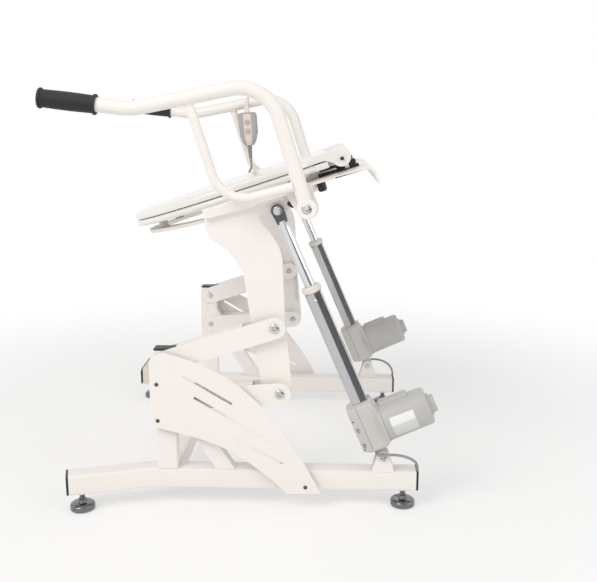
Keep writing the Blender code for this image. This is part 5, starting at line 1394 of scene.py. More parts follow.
    def caps(self) -> None:
        """Black caps on both ends of the tube and on the post."""
        _, end, way = self.leg_line()
        rail_end = np.array([self.rail_rear, self.side * self.rail_y])
        stations = [(-1.0, 0.90), (0.3, 0.93), (0.5, 1.0), (3.3, 1.0), (4.0, 0.985), (4.3, 0.95)]
        for node_name, place, outward in (
            (f"leg_cap_{self.word}", end, way), (f"rail_cap_{self.word}", rail_end, np.array([1.0, 0.0])),
        ):
            across = np.array([-outward[1], outward[0]])
            rings = []
            for reach, scale in stations:
                flat = place + outward * reach + self.section[:, :1] * scale * across
                rings.append(np.column_stack([flat, self.rail_z + self.section[:, 1] * scale]))
            cap = Piece(node_name, "base")
            cap.grid(np.array(rings))
            cap.make(BLACK)
        cap = Piece(f"post_cap_{self.word}", "base")
        cap.block((38.0, 25.0, 4.0), (self.post_x, self.y, self.post_top + 2.3), 1.2)
        cap.block((33.0, 20.0, 8.0), (self.post_x, self.y, self.post_top - 3.0), 1.0)
        cap.make(BLACK)

    def feet(self) -> None:
        """Levelling feet: a domed pad on a threaded stud."""
        h, r = self.foot_height, self.foot_radius
        pad = fillet(
            [(0, h + 2), (8.0, h + 2), (9.0, h - 4.5), (r - 5, h - 5.5), (r, h - 8.5), (r, 0.2), (0, 0.2)],
            [0, 1.5, 1.5, 2.5, 3.0, 2.0, 0], closed=False,
        )
        thread = [(0.0, h)]
        for z in np.arange(h, 57.0, 1.5):
            thread += [(4.4, z), (5.0, z + 0.75)]
        thread.append((0.0, 58.0))
        for where, place in self.foot_places().items():
            name = f"foot_{where}_{self.word}"
            piece = Piece(name, name)
            piece.turned(pad, place, (0, 0, 1), 56)
            piece.turned(thread, place, (0, 0, 1), 24)
            piece.make(CHROME)

    def control_box(self) -> None:
        """Small box inside the left post, with a black front."""
        x, y, z = self.box_place
        piece = Piece("control_box", "base")
        piece.block((63.2, 70.0, 30.0), (x, y, z), 2.0)
        piece.block((3.4, 68.0, 28.4), (x - 32.4, y, z), 1.2, slot=1)
        piece.block((10.0, 5.0, 22.0), (x + 1.8, y - 36.6, z), 1.0)
        piece.make(BEIGE, BLACK)


@dataclass
class Linkage(OneSide):
    """A side's two parallel arms, its curved carrier plate and their pivot bolts."""

    height: float = 40.0
    sheet: float = 3.0
    inside: float = 26.0
    upper_web: tuple = (26.0, 56.0)
    lower_web: tuple = (48.0, 50.0)
    washer_reach: tuple = (303.8, 305.0)
    washer_radius: float = 9.0
    shank_reach: tuple = (268.0, 304.0)
    plate: float = 6.0
    boss_radius: float = 11.0
    boss_half: float = 12.4

    def build(self) -> None:
        """Builds the linkage of one side."""
        for level, start, end, web in (
            ("upper", AT.upper_front, AT.upper_rear, self.upper_web),
            ("lower", AT.lower_front, AT.lower_rear, self.lower_web),
        ):
            self.arm(f"{level}_arm_{self.word}", start, end, web)
            bolt = Piece(f"{level}_pivot_bolt_{self.word}", "carriage")
            bolt.pin(end, self.side, *self.washer_reach, self.washer_radius, 0.3, 40)
            bolt.bolt(end, self.side, self.shank_reach, self.washer_reach[1] - 0.1, 3.3, 35.0)
            bolt.make(STEEL)
        self.carrier()

    def arm(self, name: str, start: tuple, end: tuple, web: tuple) -> None:
        """A channel arm: two flanges with round ends and a web on top between them.

        Args:
            name: of its node and of its body.
            start: its front pivot.
            end: its rear pivot.
            web: how far from each pivot the web stops.
        """
        piece = Piece(name, name)
        outline = stadium(start, end, self.height / 2, 22)
        bores = [circle(start, 5.3), circle(end, 6.0)]
        reach = (self.inside + self.sheet) / 2
        for offset in (-reach, reach):
            piece.plate(outline, self.y + offset, self.sheet, bores)
        length, turn = math.dist(start, end), angle_of(start, end)
        middle = along(start, turn, (web[0] + length - web[1]) / 2, self.height / 2 - self.sheet / 2 - 0.2)
        size = (length - sum(web), self.inside + 0.4, self.sheet)
        piece.block(size, in_side(middle, self.y), 0.6, turn)
        piece.make(POWDER, bevel=0.8)

    def carrier_outline(self) -> np.ndarray:
        """The carrier plate's shape.

        Returns:
            Its curved outline, from the seat frame down to the lower pivot and back up to the lug for
            the rod's bolt, with the finger behind it.
        """
        front = spline(
            [
                (-80.0, 539.0), (-78.0, 524.0), (-71.0, 512.0), (-60.0, 502.0), (-41.5, 489.0),
                (-29.4, 475.0), (-17.0, 456.0), (-11.0, 437.0), (-2.6, 376.0), (6.8, 311.0), (17.7, 241.0),
            ]
        )
        heel = arc(AT.lower_rear, 19.0, 200, 350, 20)
        rear = spline(
            [
                (73.0, 240.0), (68.0, 305.0), (61.8, 364.0), (60.3, 396.0), (59.0, 441.0), (57.5, 472.0),
                (53.0, 491.0), (45.4, 506.0), (33.0, 525.0), (21.0, 537.0), (15.5, 545.0), (18.0, 552.5),
                (30.0, 555.0),
            ]
        )
        lug = arc(AT.actuator_top, 14.5, 205, 320, 14)
        finger = spline([(72.0, 565.0), (86.0, 568.0), (88.0, 576.0), self.under_frame(84.0)])
        return np.concatenate([front, heel, rear, lug, finger, [self.under_frame(-79.0)]])

    def under_frame(self, x: float) -> tuple:
        """The point just under the seat frame's side bars at an x."""
        slope = math.tan(math.radians(AT.frame_tilt))
        return x, AT.frame_start[1] + slope * (x - AT.frame_start[0]) - 0.3

    def carrier(self) -> None:
        """Carrier plate with its two bosses and the rib inside its rear edge."""
        piece = Piece(f"carrier_plate_{self.word}", "carriage")
        piece.plate(self.carrier_outline(), self.y, self.plate, [circle(AT.actuator_top, 10.1)])
        for pivot in (AT.upper_rear, AT.lower_rear):
            inner, outer = AT.side_y - self.boss_half, AT.side_y + self.boss_half
            piece.pin(pivot, self.side, inner, outer, self.boss_radius, 0.8)
        low, high = (67.8, 272.0), (57.8, 420.0)
        centre = in_side(np.add(low, high) / 2, self.y - self.side * 5.0)
        piece.block((math.dist(low, high), 10.0, 3.0), centre, 0.8, angle_of(low, high))
        piece.make(POWDER, bevel=0.7)


@dataclass
class SeatFrame:
    """Side bars, cross bars, the ring under the seat, the rear plate and the hinge posts."""

    length: float = 186.0
    bar: tuple = (25.0, 18.0)
    ring_front: float = -242.0
    ring_rear: float = 120.0
    ring_half: float = 168.0
    band: float = 34.0
    ring_thickness: float = 6.5
    drop: float = 9.5
    post_y: float = 86.9
    cross_bars: tuple = (40.0, 160.0)
    hub_radius: float = 20.0
    hub_plate_y: float = 314.7
    peg_way: tuple = (-0.55, 0.0, -0.835)
    plate_length: float = 133.0
    plate_width: float = 400.0
    plate_sheet: float = 4.0
    lip: float = 34.0
    bumper_y: float = 188.0

    @property
    def middle(self) -> float:
        """Height of the ring's middle above the side bars' underside."""
        return -self.drop - self.ring_thickness / 2

    def build(self) -> None:
        """Builds the frame and what stands on it."""
        self.frame()
        self.rear_plate()
        for word, side in SIDES.items():
            self.hinge_post(word, side)
            bolt = Piece(f"armrest_bolt_{word}", "carriage")
            bolt.bolt(AT.hub, side, (291.0, 341.0), 340.8, 2.5, 5.0)
            bolt.make(STEEL)

    def frame(self) -> None:
        """The welded frame."""
        piece = Piece("seat_frame", "carriage")
        length = (self.ring_rear - self.ring_front) / math.cos(math.radians(AT.frame_tilt))
        widest = 222.0 - (self.ring_front - AT.seat_front[0])
        outline = SeatAndLid.outline(length, self.ring_half, widest, 0.0, 40)
        hole = SeatAndLid.outline(length, self.ring_half, widest, self.band, 40)
        start = in_side(AT.frame(AT.frame_at(self.ring_front), self.middle), 0.0)
        way, up = in_side([direction(AT.frame_tilt), direction(AT.frame_tilt + 90)], 0.0)
        piece.slab(outline, [hole], start, np.array([way, (0, 1.0, 0), up]), self.ring_thickness)
        span = 2 * (AT.rail_outer_y - self.bar[0] + 1.0)
        piece.block((26.0, span, 13.0), in_side(AT.rear(1.0, -6.8), 0.0), 1.5, AT.plate_tilt)
        for side in SIDES.values():
            self.side_bar(piece, side)
            self.hub(piece, side)
        piece.make(POWDER, BLACK, bevel=0.6)

    def side_bar(self, piece: Piece, side: float) -> None:
        """One side bar with its cross bars, their hangers and the rest pad.

        Args:
            piece: that they are added to.
            side: -1 or 1.
        """
        tilt, y = AT.frame_tilt, side * AT.side_y
        centre = AT.frame(self.length / 2, self.bar[1] / 2)
        piece.block((self.length, *self.bar), in_side(centre, y), 2.0, tilt)
        inner, outer = self.ring_half - self.band + 8, AT.rail_outer_y - self.bar[0] + 0.5
        low, high = self.middle - 3.25, self.bar[1] - 6.0
        for offset in self.cross_bars:
            spot = in_side(AT.frame(offset, self.middle), side * (outer + inner) / 2)
            piece.block((30.0, outer - inner, 5.5), spot, 1.0, tilt)
            spot = in_side(AT.frame(offset, (low + high) / 2), side * (outer - 2.5))
            piece.block((28.0, 6.0, high - low), spot, 1.0, tilt)
        ends = [AT.frame(AT.frame_at(x), 9.9) for x in (14.0, 72.0)]
        piece.plate(stadium(*ends, 4.5), side * 302.0, 6.0)
        if side > 0:
            piece.rod(in_side(AT.frame(32.0, 17.0), y), in_side(AT.frame(32.0, 23.0), y), 5.0, 1.0)

    def hub(self, piece: Piece, side: float) -> None:
        """Hub plate that carries an armrest, with its web and boss, and the armrest's stop peg.

        Args:
            piece: that they are added to.
            side: -1 or 1.
        """
        x, _ = AT.hub
        front, rear = AT.frame_at(x - 34), AT.frame_at(x + 8)
        corners = [AT.frame(rear, 18.0), AT.frame(front, 18.0), AT.frame(front, 3.0)]
        rim = arc(AT.hub, self.hub_radius, 225, 375, 26)
        piece.plate([*rim, *corners], side * self.hub_plate_y, 4.0)
        web = in_side(AT.frame(AT.frame_at(x - 12), 9.0), side * 307.4)
        piece.block((34.0, 16.7, 12.0), web, 1.0, AT.frame_tilt)
        piece.pin(AT.hub, side, 291.0, 315.7, 12.0, 0.5)
        first, way = in_side(AT.frame(AT.frame_at(88.0), 4.0), side * 307.0), np.array(self.peg_way)
        piece.rod(first, first + way * 14.0, 6.0, 0.5)
        piece.rod(first + way * 13.0, first + way * 27.0, 7.0, 1.6, slot=1)

    def rear_plate(self) -> None:
        """The wide strip behind the seat with its bent lip, and two bumpers under it."""
        corner = AT.rear(self.plate_length, self.plate_sheet)
        lip_end = along(corner, AT.plate_tilt - 84, self.lip)
        inner_end = along(lip_end, AT.plate_tilt - 174, self.plate_sheet)
        outer = fillet([AT.rear(0, self.plate_sheet), corner, lip_end], [0, 17.0, 0], closed=False, steps=14)
        under = [inner_end, AT.rear(self.plate_length - 4.4, 0.0), AT.rear(0.0, 0.0)]
        inner = fillet(under, [0, 13.0, 0], closed=False, steps=14)
        half, tilt = self.plate_sheet / 2, AT.plate_tilt
        tip = arc((lip_end + inner_end) / 2, half, tilt, tilt - 180, 8)[1:-1]
        piece = Piece("rear_plate", "carriage")
        piece.plate(np.concatenate([outer, tip, inner]), 0.0, self.plate_width)
        bumper = fillet([(0, 0), (8.5, 0), (8.2, 19.0), (0, 19.0)], [0, 0, 7.0, 0], closed=False)
        down = in_side(direction(AT.plate_tilt - 90), 0.0)
        for side in SIDES.values():
            piece.turned(bumper, in_side(AT.rear(30.0, 2.0), side * self.bumper_y), down, 32, slot=1)
        piece.make(POWDER, BLACK, bevel=0.9)

    def hinge_post(self, word: str, side: float) -> None:
        """Black hinge post on the rear plate, with its foot, a clip, a screw and the hinge's pin.

        Args:
            word: for the side.
            side: -1 or 1.
        """
        x, z = AT.hinge
        y, tilt = side * self.post_y, AT.plate_tilt
        under = (x - AT.plate_start[0]) / math.cos(math.radians(tilt))
        low, high = AT.rear(under, 9.3)[1], z + 4.5
        piece = Piece(f"hinge_post_{word}", "carriage")
        piece.pin(AT.hinge, side, 78.4, 152.2, 3.5, 0.5)
        piece.block((24.0, 14.0, high - low), (x, y, (high + low) / 2), 3.0)
        piece.block((84.0, 15.0, 6.0), in_side(AT.rear(under - 4.0, 7.3), y), 1.6, tilt)
        piece.block((9.0, 15.8, 11.0), in_side(AT.rear(under + 14.0, 11.0), y), 1.2, tilt, slot=1)
        piece.block((24.0, 13.0, 16.0), in_side(AT.rear(under + 21.0, 13.3), y), 2.0, tilt)
        screw = [(0, 0), (5.5, 0), (5.5, 2.0), (3.5, 2.6), (0, 2.6)]
        up = in_side(direction(tilt + 90), 0.0)
        piece.turned(screw, in_side(AT.rear(under + 21.0, 22.0), y), up, 24, slot=1)
        piece.make(BLACK, STEEL)


@dataclass
class SeatAndLid:
    """The seat with its hole, and the closed, crowned lid on it, with their hinge arms."""

    length: float = 424.0
    half_width: float = 190.0
    widest: float = 222.0
    thickness: float = 13.5
    rim: float = 5.5
    lid_thickness: float = 15.0
    lid_gap: float = 1.2
    lid_rim: float = 9.0
    hole_centre: float = 186.0
    hole_length: float = 142.0
    hole_width: float = 105.0
    arm_width: float = 25.4
    seat_arm_y: float = 96.3
    lid_arm_y: float = 122.9
    buffer_y: float = 86.0
    steps: int = 96

    @staticmethod
    def outline(length: float, half_width: float, widest: float, inset: float, steps: int) -> np.ndarray:
        """Seat from above: a half ellipse in front and a squarer half behind.

        Args:
            length: from the front tip.
            half_width: at its widest.
            widest: how far from the tip that is.
            inset: of the outline, inward.
            steps: of each half.

        Returns:
            2D points, (distance from the tip, y).
        """
        first = np.pi / 2 + np.linspace(0.0, np.pi, steps + 1)
        width = half_width - inset
        front = np.stack([widest + (widest - inset) * np.cos(first), width * np.sin(first)], 1)
        second = -np.pi / 2 + np.linspace(0.0, np.pi, steps + 1)[1:-1]
        square = 2 / 3.6
        back, across = np.cos(second), np.sin(second)
        reach = length - widest - inset
        rear = np.stack(
            [widest + reach * back**square, width * np.sign(across) * np.abs(across) ** square], 1
        )
        return np.concatenate([front, rear])

    def to_frame(self, flat: np.ndarray, heights: np.ndarray) -> np.ndarray:
        """Places points of the seat's own plane.

        Args:
            flat: (distance from the tip, y).
            heights: above the plane.

        Returns:
            3D points.
        """
        way, up = direction(AT.seat_tilt), direction(AT.seat_tilt + 90)
        x = AT.seat_front[0] + flat[..., 0] * way[0] + heights * up[0]
        z = AT.seat_front[1] + flat[..., 0] * way[1] + heights * up[1]
        return np.stack([x, flat[..., 1], z], -1)

    def build(self) -> None:
        """Builds the seat and its lid."""
        seat = Piece("seat_ring", "seat", "Seat")
        self.ring(seat)
        lid = Piece("seat_lid", "lid", "Lid")
        self.cover(lid)
        for side in SIDES.values():
            self.seat_arm(seat, side)
            self.lid_arm(lid, side)
            corner = in_side(AT.seat(self.length - 40.0, -7.3), side * (self.lid_arm_y + self.arm_width / 2))
            seat.block((78.0, self.arm_width, 12.3), corner, 2.5, AT.seat_tilt)
            spot, y = AT.frame_at(-195.0), side * self.buffer_y
            seat.rod(in_side(AT.frame(spot, -9.2), y), in_side(AT.frame(spot, 9.8), y), 9.0, 1.0, slot=1)
            lid.pin(AT.hinge, side, 148.0, 148.9, 1.6, 0.2, 24, slot=1)
        seat.make(SEAT_WHITE, BEIGE, bevel=0.8, sharp=50.0)
        lid.make(SEAT_WHITE, BLACK, bevel=0.8, sharp=50.0)

    def ring(self, piece: Piece) -> None:
        """The seat: a closed band between outline O(t) and hole H(t).

        Each point lies at O + (H - O)·d/|H - O|, where d runs across the band from one rim to the other,
        and its height follows a rounded profile: half a turn round each rim, and straight between them.

        Args:
            piece: that it is added to.
        """
        outer = self.outline(self.length, self.half_width, self.widest, 0.0, self.steps)
        turns = np.arctan2(outer[:, 1] / self.half_width, (outer[:, 0] - self.hole_centre) / 200.0)
        along_x = self.hole_centre + self.hole_length * np.cos(turns)
        hole = np.stack([along_x, self.hole_width * np.sin(turns)], 1)
        width = np.linalg.norm(hole - outer, axis=1)[:, None]
        soft, middle, half = self.rim, -self.thickness / 2, self.thickness / 2 - 0.2
        half_turn = np.linspace(0.0, math.pi, 9)
        parts = np.linspace(0.1, 0.9, 9)
        first = [(soft * (1 - math.sin(a)), middle - half * math.cos(a)) for a in half_turn]
        over = [(soft + (width - 2 * soft) * part, middle + half) for part in parts]
        last = [(width - soft * (1 - math.sin(a)), middle + half * math.cos(a)) for a in half_turn]
        under = [(d, middle - half) for d, _ in over[::-1]]
        rings = []
        for d, level in first + over + last + under:
            flat = outer + (hole - outer) * d / width
            rings.append(self.to_frame(flat, np.full(len(flat), level)))
        piece.grid(np.array(rings), wrap=True)

    def cover(self, piece: Piece) -> None:
        """The lid: C + (O(t) - C)·(1 - d/|O - C|), with rounded rims and a crown that rises to its middle.

        Args:
            piece: that it is added to.
        """
        outer = self.outline(self.length, self.half_width + 1, self.widest, 0.0, self.steps)
        centre = np.array([self.widest, 0.0])
        away = outer - centre
        reach = np.linalg.norm(away, axis=1)[:, None]
        edge, flat_end = 0.93, away * (1 - 11.0 / reach)
        low, high = self.lid_gap, self.lid_gap + self.lid_thickness
        rows = [(away * (1 - 12.0 / reach) * share / edge, low) for share in (0.0, 0.25, 0.5, 0.75)]
        rows.append((flat_end, low))
        under, over = (1.6, low + 1.6), (self.lid_rim, high - self.lid_rim)
        for d, level in [*arc(under, 1.6, 270, 180, 4), *arc(over, self.lid_rim, 180, 90, 8)]:
            rows.append((away * (1 - d / reach), level))
        for share in (edge, 0.8, 0.6, 0.4, 0.2, 0.0):
            flat = flat_end if share == edge else away * (1 - 12.0 / reach) * share / edge
            rows.append((flat, high + 1.4 * (1 - share**2) - 0.2))
        rings = [self.to_frame(centre + flat, np.full(len(flat), level)) for flat, level in rows]
        piece.grid(np.array(rings), caps=False)

    def seat_arm(self, piece: Piece, side: float) -> None:
        """The seat's arm, from its rear edge up to its hinge barrel.

        Args:
            piece: that it is added to.
            side: -1 or 1.
        """
        low, high, start = -self.thickness, -1.0, self.length - 62.0
        outline = [
            AT.seat(start, low), AT.seat(self.length - 4.0, low),
            *arc(AT.hinge, 13.0, AT.seat_tilt - 150, AT.seat_tilt + 82, 36),
            AT.seat(self.length - 10.0, high), AT.seat(start + 22.0, high - 1.5), AT.seat(start, high - 6.0),
        ]
        piece.plate(outline, side * (self.seat_arm_y + self.arm_width / 2), self.arm_width)

    def lid_arm(self, piece: Piece, side: float) -> None:
        """The lid's arm: a straight back that rises to a barrel a little above and before its pin.

        Args:
            piece: that it is added to.
            side: -1 or 1.
        """
        barrel, steep = np.add(AT.hinge, (-1.5, 3.0)), 115.0
        outline = [
            AT.seat(self.length - 62.0, 1.6), AT.seat(self.length - 6.0, 1.6),
            *arc(barrel, 18.5, AT.seat_tilt - 158, steep, 40),
            AT.seat(self.length - 36.0, 15.6), AT.seat(self.length - 62.0, 13.0),
        ]
        piece.plate(outline, side * (self.lid_arm_y + self.arm_width / 2), self.arm_width)


@dataclass
class Armrest(OneSide):
    """One folding armrest: bent tube, front strut, hub disc and rubber grip."""

    tube: float = 12.7
    strut: float = 8.2
    grip_end: tuple = (-345.4, 751.8)
    front_bend: tuple = (-193.5, 734.0)
    top_corner: tuple = (36.5, 779.0)
    strut_top: tuple = (-99.0, 752.5)
    strut_corner: tuple = (-42.9, 572.8)

    @property
    def y(self) -> float:
        """The armrest's middle across the lift."""
        return self.side * AT.armrest_y

    def build(self) -> None:
        """Builds the armrest of one side."""
        body = f"armrest_{self.word}"
        piece = Piece(f"armrest_tube_{self.word}", body, f"Armrest_{self.word}")
        corners = [self.grip_end, self.front_bend, self.top_corner, AT.hub]
        line = fillet(corners, [0, 130.0, 70.0, 0], closed=False, steps=28)
        piece.swept(in_side(self.dense(line), self.y), circle((0, 0), self.tube, 36))
        piece.swept(in_side(self.dense(self.strut_line()), self.y), circle((0, 0), self.strut, 28))
        self.weld(piece)
        piece.turned(self.hub_profile(), in_side(AT.hub, 0.0), (0, self.side, 0), 56)
        piece.make(POWDER)
        grip = Piece(f"grip_{self.word}", body)
        way = in_side(np.subtract(self.grip_end, self.front_bend), 0.0)
        grip.turned(self.grip_profile(), in_side(self.grip_end, self.y), way, 48)
        grip.make(RUBBER)

    def dense(self, line: np.ndarray) -> np.ndarray:
        """The line with its long straight parts split, so that rings stay square to them.

        Args:
            line: (x, z) points.

        Returns:
            The points, none further than 24 mm from the next.
        """
        made = [line[0]]
        for first, second in zip(line, line[1:]):
            parts = max(1, int(np.linalg.norm(second - first) // 12))
            for i in range(1, parts + 1):
                made.append(first + (second - first) * i / parts)
        return np.array(made)

    def strut_line(self) -> np.ndarray:
        """Middle line of the strut.

        Returns:
            (x, z) points from the arm's underside down and back to the rear leg.
        """
        corner, top = self.strut_corner, self.top_corner
        up = direction(angle_of(corner, self.strut_top))
        first = crossing(corner, up, self.front_bend, direction(angle_of(self.front_bend, top)))
        rear = crossing(corner, direction(AT.frame_tilt), top, direction(angle_of(top, AT.hub)))
        return fillet([first, corner, rear], [0, 58.0, 0], closed=False, steps=28)

    def weld(self, piece: Piece) -> None:
        """Weld fillets: the strut flares a little where it meets the tube at both ends.

        Args:
            piece: that they are added to.
        """
        line = self.strut_line()
        start, stop = self.tube * 0.86, self.tube + 5.0
        heights = np.linspace(start, stop, 7)
        radii = self.strut + 2.6 * (1 - (heights - start) / (stop - start)) ** 2.2
        profile = [(0.0, start), *zip(radii, heights), (0.0, stop)]
        for spot, beyond in ((line[0], line[1]), (line[-1], line[-2])):
            piece.turned(profile, in_side(spot, self.y), in_side(beyond - spot, 0.0), 32)

    def hub_profile(self) -> np.ndarray:
        """Profile of the hub disc.

        Returns:
            (radius, distance from the lift's middle), with a round recess for the bolt's head.
        """
        return fillet(
            [(0, 317.0), (17.5, 317.0), (17.5, 342.5), (8.6, 342.5), (8.6, 340.4), (0, 340.4)],
            [0, 1.0, 2.0, 0.6, 0, 0], closed=False, steps=5,
        )

    def grip_profile(self) -> list:
        """Profile of the rubber grip.

        Returns:
            (radius, height) with a flange at each end and fine rings between them.
        """
        front, length, flange, radius, rim = 3.5, 98.0, 5.0, 15.0, 17.5
        rear = front - length
        profile = [(0.0, front), *arc((rim - 2.2, front - 2.2), 2.2, 90, 0, 5)]
        profile += [(rim, front - flange + 1), (rim - 1, front - flange), (radius, front - flange - 0.6)]
        inner_front, inner_rear = front - flange - 3, rear + flange + 3
        for share in np.linspace(0.0, 1.0, 121):
            swell = 0.7 * math.sin(math.pi * share)
            groove = 0.28 * math.cos(2 * math.pi * share * 30)
            profile.append((radius + swell + groove, inner_front + (inner_rear - inner_front) * share))
        profile += [(radius, rear + flange + 0.6), (rim - 1, rear + flange), (rim, rear + flange - 1)]
        profile += [(rim, rear + 1), (rim - 1, rear), (13.0, rear), (0.0, rear + 1.0)]
        return profile


@dataclass
class Actuator(OneSide):
    """One screw actuator: gearbox, motor, square tube, collar and the rod with its fork."""

    width: float = 28.0
    low: float = 21.0
    high: float = 113.0
    front: float = -29.0
    slant: float = 8.0
    strip: float = 15.0
    seam: float = -10.0
    rear: float = 21.0
    motor: float = 37.0
    motor_up: float = 60.0
    motor_length: float = 88.0
    tube: float = 15.0
    collar_at: float = 336.8
    facet: float = 12.0
    label_length: float = 46.0
    shank_reach: tuple = (270.0, 300.4)
    foot_face: float = 300.3
    rod_radius: float = 10.0
    fork_gap: float = 5.8
    fork_sheet: float = 5.0

    @property
    def body(self) -> str:
        """The body of all but the rod."""
        return f"actuator_{self.word}"

    def stations(self, rows: list) -> np.ndarray:
        """Rings across the actuator.

        The rings of a square station and a round one have the same points, so that a surface
        can run from the gearbox's square to the motor's circle.

        Args:
            rows: for each ring (across, middle up, half up, half width, corner).

        Returns:
            Rows × columns × 3.
        """
        rings = []
        for across, up, half_up, half_y, corner in rows:
            section = rounded_section(half_up, half_y, corner, 10)
            rings.append(ring_at(section, self.y, lambda a: AT.actuator(up + a, across)))
        return np.array(rings)

    def rim(self, row: tuple, soft: float, inward: float) -> list:
        """A rounded rim, from its face inward: soft·(1 - cos a) in, and soft·(1 - sin a) less.

        Args:
            row: of the face, as in stations.
            soft: radius of the rim.
            inward: 1 where inward is across, -1 where it is back.

        Returns:
            Its rows.
        """
        across, up, half_up, half_y, corner = row
        made = []
        for a in np.radians(np.linspace(0.0, 90.0, 6)):
            less = soft * (1 - math.sin(a))
            step = inward * soft * (1 - math.cos(a))
            made.append((across + step, up, half_up - less, half_y - less, corner))
        return made

    def build(self) -> None:
        """Builds the actuator of one side."""
        self.gear_cover()
        self.gear_housing()
        self.motor_can()
        self.outer_tube()
        self.collar()
        self.rod()
        bolt = Piece(f"actuator_foot_bolt_{self.word}", "base")
        bolt.bolt(AT.actuator_foot, self.side, self.shank_reach, self.foot_face, 3.2, 12.0)
        bolt.make(STEEL)

    def gear_cover(self) -> None:
        """The gearbox's front slab, with two sunk screws and two small plugs on its slanted strip."""
        up, half = (self.low + self.high) / 2, (self.high - self.low) / 2
        piece = Piece(f"gear_cover_{self.word}", self.body)
        rows = [
            (self.front, up, half - 1.5, self.width - self.slant, 6.0),
            (self.front + self.strip, up, half, self.width, 6.0),
            (self.seam - 1.2, up, half, self.width, 6.0),
            (self.seam - 0.3, up, half - 1.0, self.width - 1.0, 5.0),
        ]
        piece.grid(self.stations(self.rim(rows[0], 3.0, 1.0) + rows[1:]))
        for up, across, radius in ((38.5, 7.5, 3.6), (70.0, 7.5, 3.6), (30.0, 4.0, 1.5), (88.0, 4.0, 1.5)):
            spot = AT.actuator(up, self.front + across)
            face = AT.side_y + self.width - self.slant * (1 - across / self.strip)
            # The dark disc under each screw and plug is painted shade of its recess.
            piece.pin(spot, self.side, face - 3.0, face + 0.12 * radius, radius, 0.1, 28, slot=1)
            if radius > 2.0:
                piece.bolt_head(spot, self.side, face - 0.2, radius - 1.0, 1.1, slot=2)
        piece.make(GEAR_GREY, RECESS_PAINTED_SHADE, STEEL)

    def gear_housing(self) -> None:
        """The housing, which narrows to the motor's round flange, with its lug and the tube's low rim."""
        up, half = (self.low + self.high) / 2, (self.high - self.low) / 2
        flange = self.motor + 1.5
        rows = [
            (self.seam, up, half - 1.0, self.width - 1.0, 5.0),
            (self.seam + 0.9, up, half, self.width, 6.0),
            (self.rear - 9.0, up, half, self.width, 6.0),
            (self.rear - 3.0, up - 0.5, half - 0.6, self.width - 0.2, 8.0),
            (self.rear + 1.0, (up + self.motor_up) / 2, half - 5.0, self.width + 5.0, 20.0),
            (self.rear + 3.5, self.motor_up, flange, flange, flange),
            (self.rear + 6.0, self.motor_up, flange, flange, flange),
        ]
        piece = Piece(f"gear_housing_{self.word}", self.body)
        piece.grid(self.stations(rows[:-1] + self.rim(rows[-1], 1.0, -1.0)[::-1]))
        lug = arc(AT.actuator_foot, 12.0, AT.actuator_turn + 90, AT.actuator_turn + 270, 24)
        outline = [*lug, AT.actuator(26.0, 12.0), AT.actuator(26.0, -8.0)]
        piece.plate(outline, self.y, 18.4, [circle(AT.actuator_foot, 5.3)])
        rings = []
        for up, half in ((-6.0, 20.5), (0.6, 20.5), (1.4, 19.6), (1.6, 18.6)):
            section = rounded_section(half, half, 8.0, 6)
            rings.append(ring_at(section, self.y, lambda a: AT.actuator(self.high + up, a)))
        piece.grid(np.array(rings))
        piece.make(GEAR_GREY)

    def motor_can(self) -> None:
        """Motor can with a stepped end cap, a double raised rib on top and a bare label on its outer side."""
        start = self.rear + 6.3
        end = start + self.motor_length
        r = self.motor
        outline = fillet(
            [
                (0, start), (r, start), (r, start + 9.0), (r - 0.5, start + 9.4), (r - 1.8, end), (21.0, end),
                (21.0, end + 3.5), (17.0, end + 3.5), (16.4, end + 12.0), (8.0, end + 12.0),
                (7.0, end + 10.4), (0, end + 10.4),
            ],
            [0, 0.8, 0, 0, 7.0, 0.6, 1.0, 0.6, 2.4, 0.6, 0.4, 0], closed=False, steps=6,
        )
        piece = Piece(f"motor_{self.word}", self.body)
        piece.turned(outline, in_side(AT.actuator(self.motor_up), self.y), AT.motor_axis, 72)
        first, last = start + 1.0, end - 30.0
        middle = AT.actuator(self.motor_up + r - 2.0, (first + last) / 2)
        for across, half, top, less in ((0.0, 12.5, 4.4, 0.0), (-6.8, 3.2, 6.2, 6.0), (6.8, 3.2, 6.2, 6.0)):
            size = (last - first - less, 2 * half, 2 * top)
            piece.block(size, in_side(middle, self.y + across), 1.8, AT.actuator_turn - 90)
        screw = [(0, 0), (3.6, 0), (3.6, 1.0), (2.4, 1.8), (0, 1.8)]
        spot = in_side(AT.actuator(self.motor_up, end + 10.0), self.y)
        piece.turned(screw, spot, AT.motor_axis, 28, slot=3)
        self.label_patch(piece, start + 12.0)
        piece.make(GREY, LABEL_PAINTED_HIGHLIGHT, LABEL_PRINT_AND_PAINTED_SHADE, STEEL)

    def label_patch(self, piece: Piece, first: float) -> None:
        """A bare film on the can's outer side: radius·(cos a, sin a) for a band of angles.

        Args:
            piece: that it is added to.
            first: its front edge, across.
        """
        # Slot 1, the upper band, carries a painted highlight; slot 2, the lower band, is grey for its print
        # and for painted shade.
        for slot, low, high in ((1, -2.0, 24.0), (2, -38.0, -2.2)):
            turns = np.radians(np.linspace(low, high, 14))
            rings = []
            for across in (first, first + self.label_length):
                loop = []
                for radius, row in ((self.motor + 0.05, turns), (self.motor - 1.6, turns[::-1])):
                    for a in row:
                        spot = AT.actuator(self.motor_up + radius * math.sin(a), across)
                        loop.append(in_side(spot, self.y + self.side * radius * math.cos(a)))
                rings.append(loop)
            piece.grid(np.array(rings), slot)

